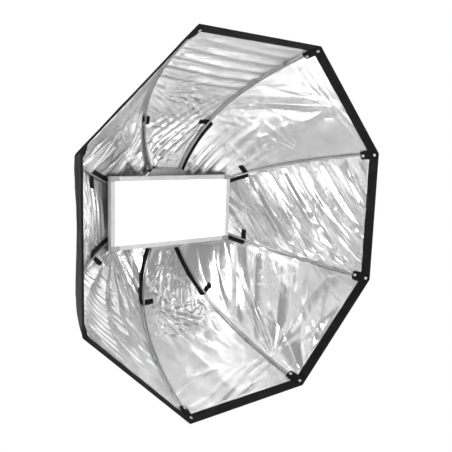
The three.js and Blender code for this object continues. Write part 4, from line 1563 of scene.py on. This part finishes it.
@dataclass
class Collar:
    """The elastic sleeve that gathers the bowl's rear edge behind the hub."""

    bowl: BowlShape
    finishes: Finishes
    overlap: float = 0.03
    reach: float = 0.028
    taper: float = 0.016
    gathers: int = 13
    ripple: float = 0.0024
    hem: float = 0.0022
    steps: int = 78

    def make(self) -> bpy.types.Object:
        """A ring whose profile lies on the cloth, then turns back and in, with rolling gathers."""
        bowl = self.bowl
        side, u = rim_shares(self.steps)
        on_cloth = np.linspace(bowl.skin_rear - self.overlap, bowl.skin_rear, 8)
        lift = -(bowl.skin / 2 + bowl.fit + bowl.webbing / 2)
        radius, depth = bowl.curve(on_cloth, np.full(8, lift))
        t = np.linspace(0, 1, 12)[1:]
        back_r = radius[-1] - self.taper * t**1.6
        back_d = depth[-1] + self.reach * np.sin(t * np.pi / 2) ** 0.9
        hem_t = np.linspace(0, 1.5 * np.pi, 8)[1:]
        hem_r = back_r[-1] - self.hem * (1 - np.cos(hem_t))
        hem_d = back_d[-1] + self.hem * np.sin(hem_t)
        radius = np.concatenate([radius, back_r, hem_r])
        depth = np.concatenate([depth, back_d, hem_d])
        run = np.concatenate([[0], np.cumsum(np.hypot(np.diff(radius), np.diff(depth)))])
        normal = unit(np.stack([-np.gradient(depth), np.gradient(radius)], axis=-1))
        place = side + u / 2 + 0.5
        grow = smooth_step(0.012, 0.055, run)[:, None]
        drift = 1.6 * lattice_noise(place, 0 * place, 0.21, 31)
        wave = np.sin(2 * np.pi * self.gathers * place + drift)
        depth_share = 0.7 + 0.3 * lattice_noise(place, 0 * place, 0.09, 32)
        ripple = self.ripple * grow * wave[None, :] * depth_share
        layers = []
        for sign in (1, -1):
            move = ripple + sign * bowl.webbing / 2
            r = radius[:, None] + normal[:, :1] * move
            d = depth[:, None] + normal[:, 1:] * move
            layers.append(
                bowl.placed(side * SIDE_ANGLE, r * FLAT_SHARE, u * r * HALF_SHARE, d)
            )
        coords = np.stack(np.broadcast_arrays(place * 0.16, run[:, None]), axis=-1)
        surface = Surface()
        surface.add_cloth(*layers, coords, around=True, tints=(1, 0, 0))
        materials = [self.finishes.shell, self.finishes.lining]
        collar = surface.piece("gathered_collar", Body.SOFTBOX, Slot.WEBBING, materials)
        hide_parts("rear_collar")
        return collar


@dataclass
class PanelFrame:
    """The aluminium frame of the flat light, with its four corner joiners."""

    finishes: Finishes
    bar: float = 0.021
    ease: float = 0.0012
    joiner: tuple[float, float] = (0.04, 0.021)
    joiner_lift: float = 0.0006
    screw_profile: tuple = (
        (0.0024, 0.0004), (0.0025, -0.0001), (0.0022, -0.0004), (0.0013, -0.0005), (0.0011, 0.0002),
    )  # radius, distance back

    def make(self) -> None:
        """A bar section with a lip and eased edges, carried round the rectangle with mitres."""
        low, high = (np.array(c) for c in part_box("panel_bezel"))
        middle = (low + high) / 2
        half_x, half_z = (high[0] - low[0]) / 2, (high[2] - low[2]) / 2
        deep = high[1] - low[1]
        bar, ease = self.bar, self.ease
        # (in from the outer face, back from the front face)
        section = np.array(
            [
                (0.0, ease), (0.0004, 0.0004), (ease, 0.0),
                (bar * 0.36, 0.0), (bar * 0.38, 0.0004), (bar * 0.42, 0.0004), (bar * 0.44, 0.0),
                (bar - 0.0022, 0.0), (bar - 0.0009, 0.0005), (bar - 0.0002, 0.0018),
                (bar - 0.0002, deep - 0.004), (bar - 0.0008, deep - 0.0006),
                (bar - 0.002, deep), (ease, deep), (0.0003, deep - 0.0004), (0.0, deep - ease),
                (0.0, deep * 0.62), (0.0009, deep * 0.6), (0.0009, deep * 0.42), (0.0, deep * 0.4),
            ]
        )
        corners = np.array([(1, 1), (-1, 1), (-1, -1), (1, -1)])
        x = middle[0] + corners[:, :1] * (half_x - section[None, :, 0])
        z = middle[2] + corners[:, 1:] * (half_z - section[None, :, 0])
        y = np.broadcast_to(low[1] + section[None, :, 1], x.shape)
        rings = np.stack([x, y, z], axis=-1)
        surface = Surface()
        surface.add(rings, rings[..., [0, 2]], swept(rings, closed=True))
        bezel = surface.piece("panel_frame", Body.SOFTBOX, Slot.PANEL, [self.finishes.bezel], 25)
        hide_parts("panel_bezel")
        self.joiners(low, high)

    def joiners(self, low: np.ndarray, high: np.ndarray) -> None:
        """A thin rounded plate let into the front of each corner, with two countersunk screws."""
        surface = Surface()
        wide, tall = self.joiner
        lift = self.joiner_lift
        turn, screw_turn = circle(32, np.pi / 32), circle(16)
        plate = np.stack([np.cos(turn), np.sin(turn)], axis=-1)
        plate = np.sign(plate) * np.abs(plate) ** 0.16 * [wide / 2 - lift, tall / 2 - lift]
        screw = np.stack([np.cos(screw_turn), np.sin(screw_turn)], axis=-1)
        for sx in (-1, 1):
            for sz in (-1, 1):
                cx = (high[0] if sx > 0 else low[0]) - sx * wide / 2
                cz = (high[2] if sz > 0 else low[2]) - sz * tall / 2
                levels = [(1.0, lift), (1.0, -lift * 0.5), (0.985, -lift)]
                self.stud(surface, (cx, low[1], cz), plate, levels)
                for place in (-0.3, 0.3):
                    middle = (cx + place * wide, low[1] - lift, cz)
                    self.stud(surface, middle, screw, self.screw_profile, 1)
        materials = [self.finishes.joiner, self.finishes.zinc]
        surface.piece("corner_joiners", Body.SOFTBOX, Slot.PANEL, materials, 25)

    @staticmethod
    def stud(
        surface: Surface, middle: tuple, outline: np.ndarray, levels: tuple, material: int = 0
    ) -> None:
        """Adds a low shape that faces the front: one outline at several sizes and depths.

        Args:
            surface: What it is added to.
            middle: The point it stands on.
            outline: Its x and z round the middle.
            levels: Size and distance back of each ring.
            material: Which of the piece's materials it has.
        """
        rings = np.stack(
            [
                np.stack(
                    [
                        middle[0] + outline[:, 0] * size,
                        np.full(len(outline), middle[1] + back),
                        middle[2] + outline[:, 1] * size,
                    ],
                    axis=-1,
                )
                for size, back in levels
            ]
        )
        surface.add(rings, rings[..., [0, 2]], swept(rings), material)


@dataclass
class Hardware:
    """The machined, cast and moulded parts that keep their CAD shapes."""

    finishes: Finishes

    def make(self) -> None:
        """Gives each kept CAD part its finish."""
        f = self.finishes
        kept = {
            "hub_ring": f.hub,
            "panel_back_cover": f.cover,
            "light_diffuser": f.opal,
            "led_board": f.board,
            "driver_housing": f.cast,
            "power_supply": f.zinc,
            "power_inlet": f.plastic,
            "power_switch": f.plastic,
            "dimmer_knob": f.knob,
            "tilt_ear_left": f.cast,
            "tilt_ear_right": f.cast,
            "tilt_yoke": f.yoke,
            "stand_receiver": f.cast,
            "tilt_lock_knob_left": f.knob,
            "tilt_lock_knob_right": f.knob,
            "clamp_knob": f.knob,
            "clamp_pad": f.zinc,
        }
        for i in range(SIDES):
            kept[f"rod_socket_{i + 1}"] = f.cast
        for name, material in kept.items():
            node = bpy.data.objects[name]
            node.data.materials.clear()
            node.data.materials.append(material)
            LOG.info("%s: %s", name, material.name)


# ---- The studio ----------------------------------------------------------------------------


@dataclass
class Studio:
    """A pale floor, soft lights and the camera."""

    floor_height: float = -1.45
    reach: float = 14
    camera_place: tuple[float, float, float] = (-1.355, -2.4585, 0.3954)
    turns: tuple[float, float, float] = (8.894, 38.121, -1.801)
    lens: float = 44.13
    surround: float = 0.3
    floor_glow: float = 0.4

    def make(self) -> None:
        """Sets up the floor, the world, the lights and the camera."""
        self.floor()
        self.world()
        self.lights()
        self.camera()

    def floor(self) -> None:
        """A wide pale floor, well below the hanging softbox."""
        mesh = bpy.data.meshes.new("studio_floor")
        corners = ((-1, -1), (1, -1), (1, 1), (-1, 1))
        points = [(x * self.reach, y * self.reach, self.floor_height) for x, y in corners]
        mesh.from_pydata(points, [], [(0, 1, 2, 3)])
        g = Graph("studio_paper")
        speck = g.noise(g.object_place(), 3, 3)
        mesh.materials.append(
            g.surface(
                {
                    "Base Color": g.mix(speck, grey(0.9), grey(0.93)),
                    "Roughness": 0.9,
                    "Emission Color": grey(1.0),
                    "Emission Strength": self.floor_glow,
                }
            )
        )
        made = bpy.data.objects.new("studio_floor", mesh)
        made.visible_camera = False
        bpy.context.scene.collection.objects.link(made)

    def world(self) -> None:
        """A white surround for the eye, and a dimmer one that shades from above to below."""
        world = bpy.data.worlds.new("studio_world")
        bpy.context.scene.world = world
        world.use_nodes = True
        tree = world.node_tree
        tree.nodes.clear()
        seen, lit, both, path, out = (
            tree.nodes.new(kind)
            for kind in (
                "ShaderNodeBackground",
                "ShaderNodeBackground",
                "ShaderNodeMixShader",
                "ShaderNodeLightPath",
                "ShaderNodeOutputWorld",
            )
        )
        for node, strength in ((seen, 1.0), (lit, self.surround)):
            node.inputs["Color"].default_value = grey(1.0)
            node.inputs["Strength"].default_value = strength
        tree.links.new(path.outputs["Is Camera Ray"], both.inputs[0])
        tree.links.new(lit.outputs[0], both.inputs[1])
        tree.links.new(seen.outputs[0], both.inputs[2])
        tree.links.new(both.outputs[0], out.inputs["Surface"])
        bpy.context.scene.view_settings.view_transform = "Standard"

    def lights(self) -> None:
        """A broad key from the upper left, a fill and a low strip."""
        target = Vector((0, -0.6, 0.07))
        for name, place, size, power in (
            ("key", (-2.8, -3.4, 2.6), 1.5, 104),
            ("fill", (3.0, -2.6, 0.2), 0.9, 50),
            ("low", (-0.6, -3.2, -1.2), 0.8, 6),
            ("rear", (1.8, 2.4, 1.8), 1.6, 50),
        ):
            light = bpy.data.lights.new(f"studio_{name}", "AREA")
            light.energy = power
            light.size = size
            made = bpy.data.objects.new(f"studio_{name}", light)
            made.location = place
            aim = target - Vector(place)
            made.rotation_euler = aim.to_track_quat("-Z", "Y").to_euler()
            bpy.context.scene.collection.objects.link(made)

    @staticmethod
    def rotation(axis: int, degrees: float) -> np.ndarray:
        """The matrix of a turn about one axis."""
        c, s = math.cos(math.radians(degrees)), math.sin(math.radians(degrees))
        i, j = (axis + 1) % 3, (axis + 2) % 3
        made = np.eye(3)
        made[i, i] = made[j, j] = c
        made[i, j], made[j, i] = -s, s
        return made

    def camera(self) -> None:
        """The camera's axes are the rows of Rz Rx Ry, turned into the frame's axes."""
        about_x, about_y, about_z = (self.rotation(i, a) for i, a in enumerate(self.turns))
        rows = about_z @ about_x @ about_y
        axes = np.stack([rows[:, 0], -rows[:, 2], rows[:, 1]], axis=-1)
        data = bpy.data.cameras.new("studio_camera")
        data.lens = self.lens
        data.sensor_width = 36
        data.clip_start, data.clip_end = 0.05, 60
        made = bpy.data.objects.new("studio_camera", data)
        pose = Matrix(axes.T.tolist()).to_4x4()
        pose.translation = Vector(self.camera_place)
        made.matrix_world = pose
        bpy.context.scene.collection.objects.link(made)
        bpy.context.scene.camera = made


def main() -> None:
    """Builds the softbox and the studio."""
    logging.basicConfig(level=logging.INFO, format="%(name)s %(message)s")
    band_low, band_high = (np.array(c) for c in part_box("front_band"))
    bowl = BowlShape(front=float(band_low[1]), axis_height=float(band_low[2] + band_high[2]) / 2)
    finishes = Finishes()
    Studio().make()
    lining = Lining(bowl, finishes)
    panels = lining.make()
    lining.declare(panels)
    band = EdgeBand(bowl, finishes)
    band.declare(band.make())
    Ribs(bowl, finishes).make()
    Collar(bowl, finishes).make()
    PanelFrame(finishes).make()
    Hardware(finishes).make()


if __name__ == "__main__":
    main()
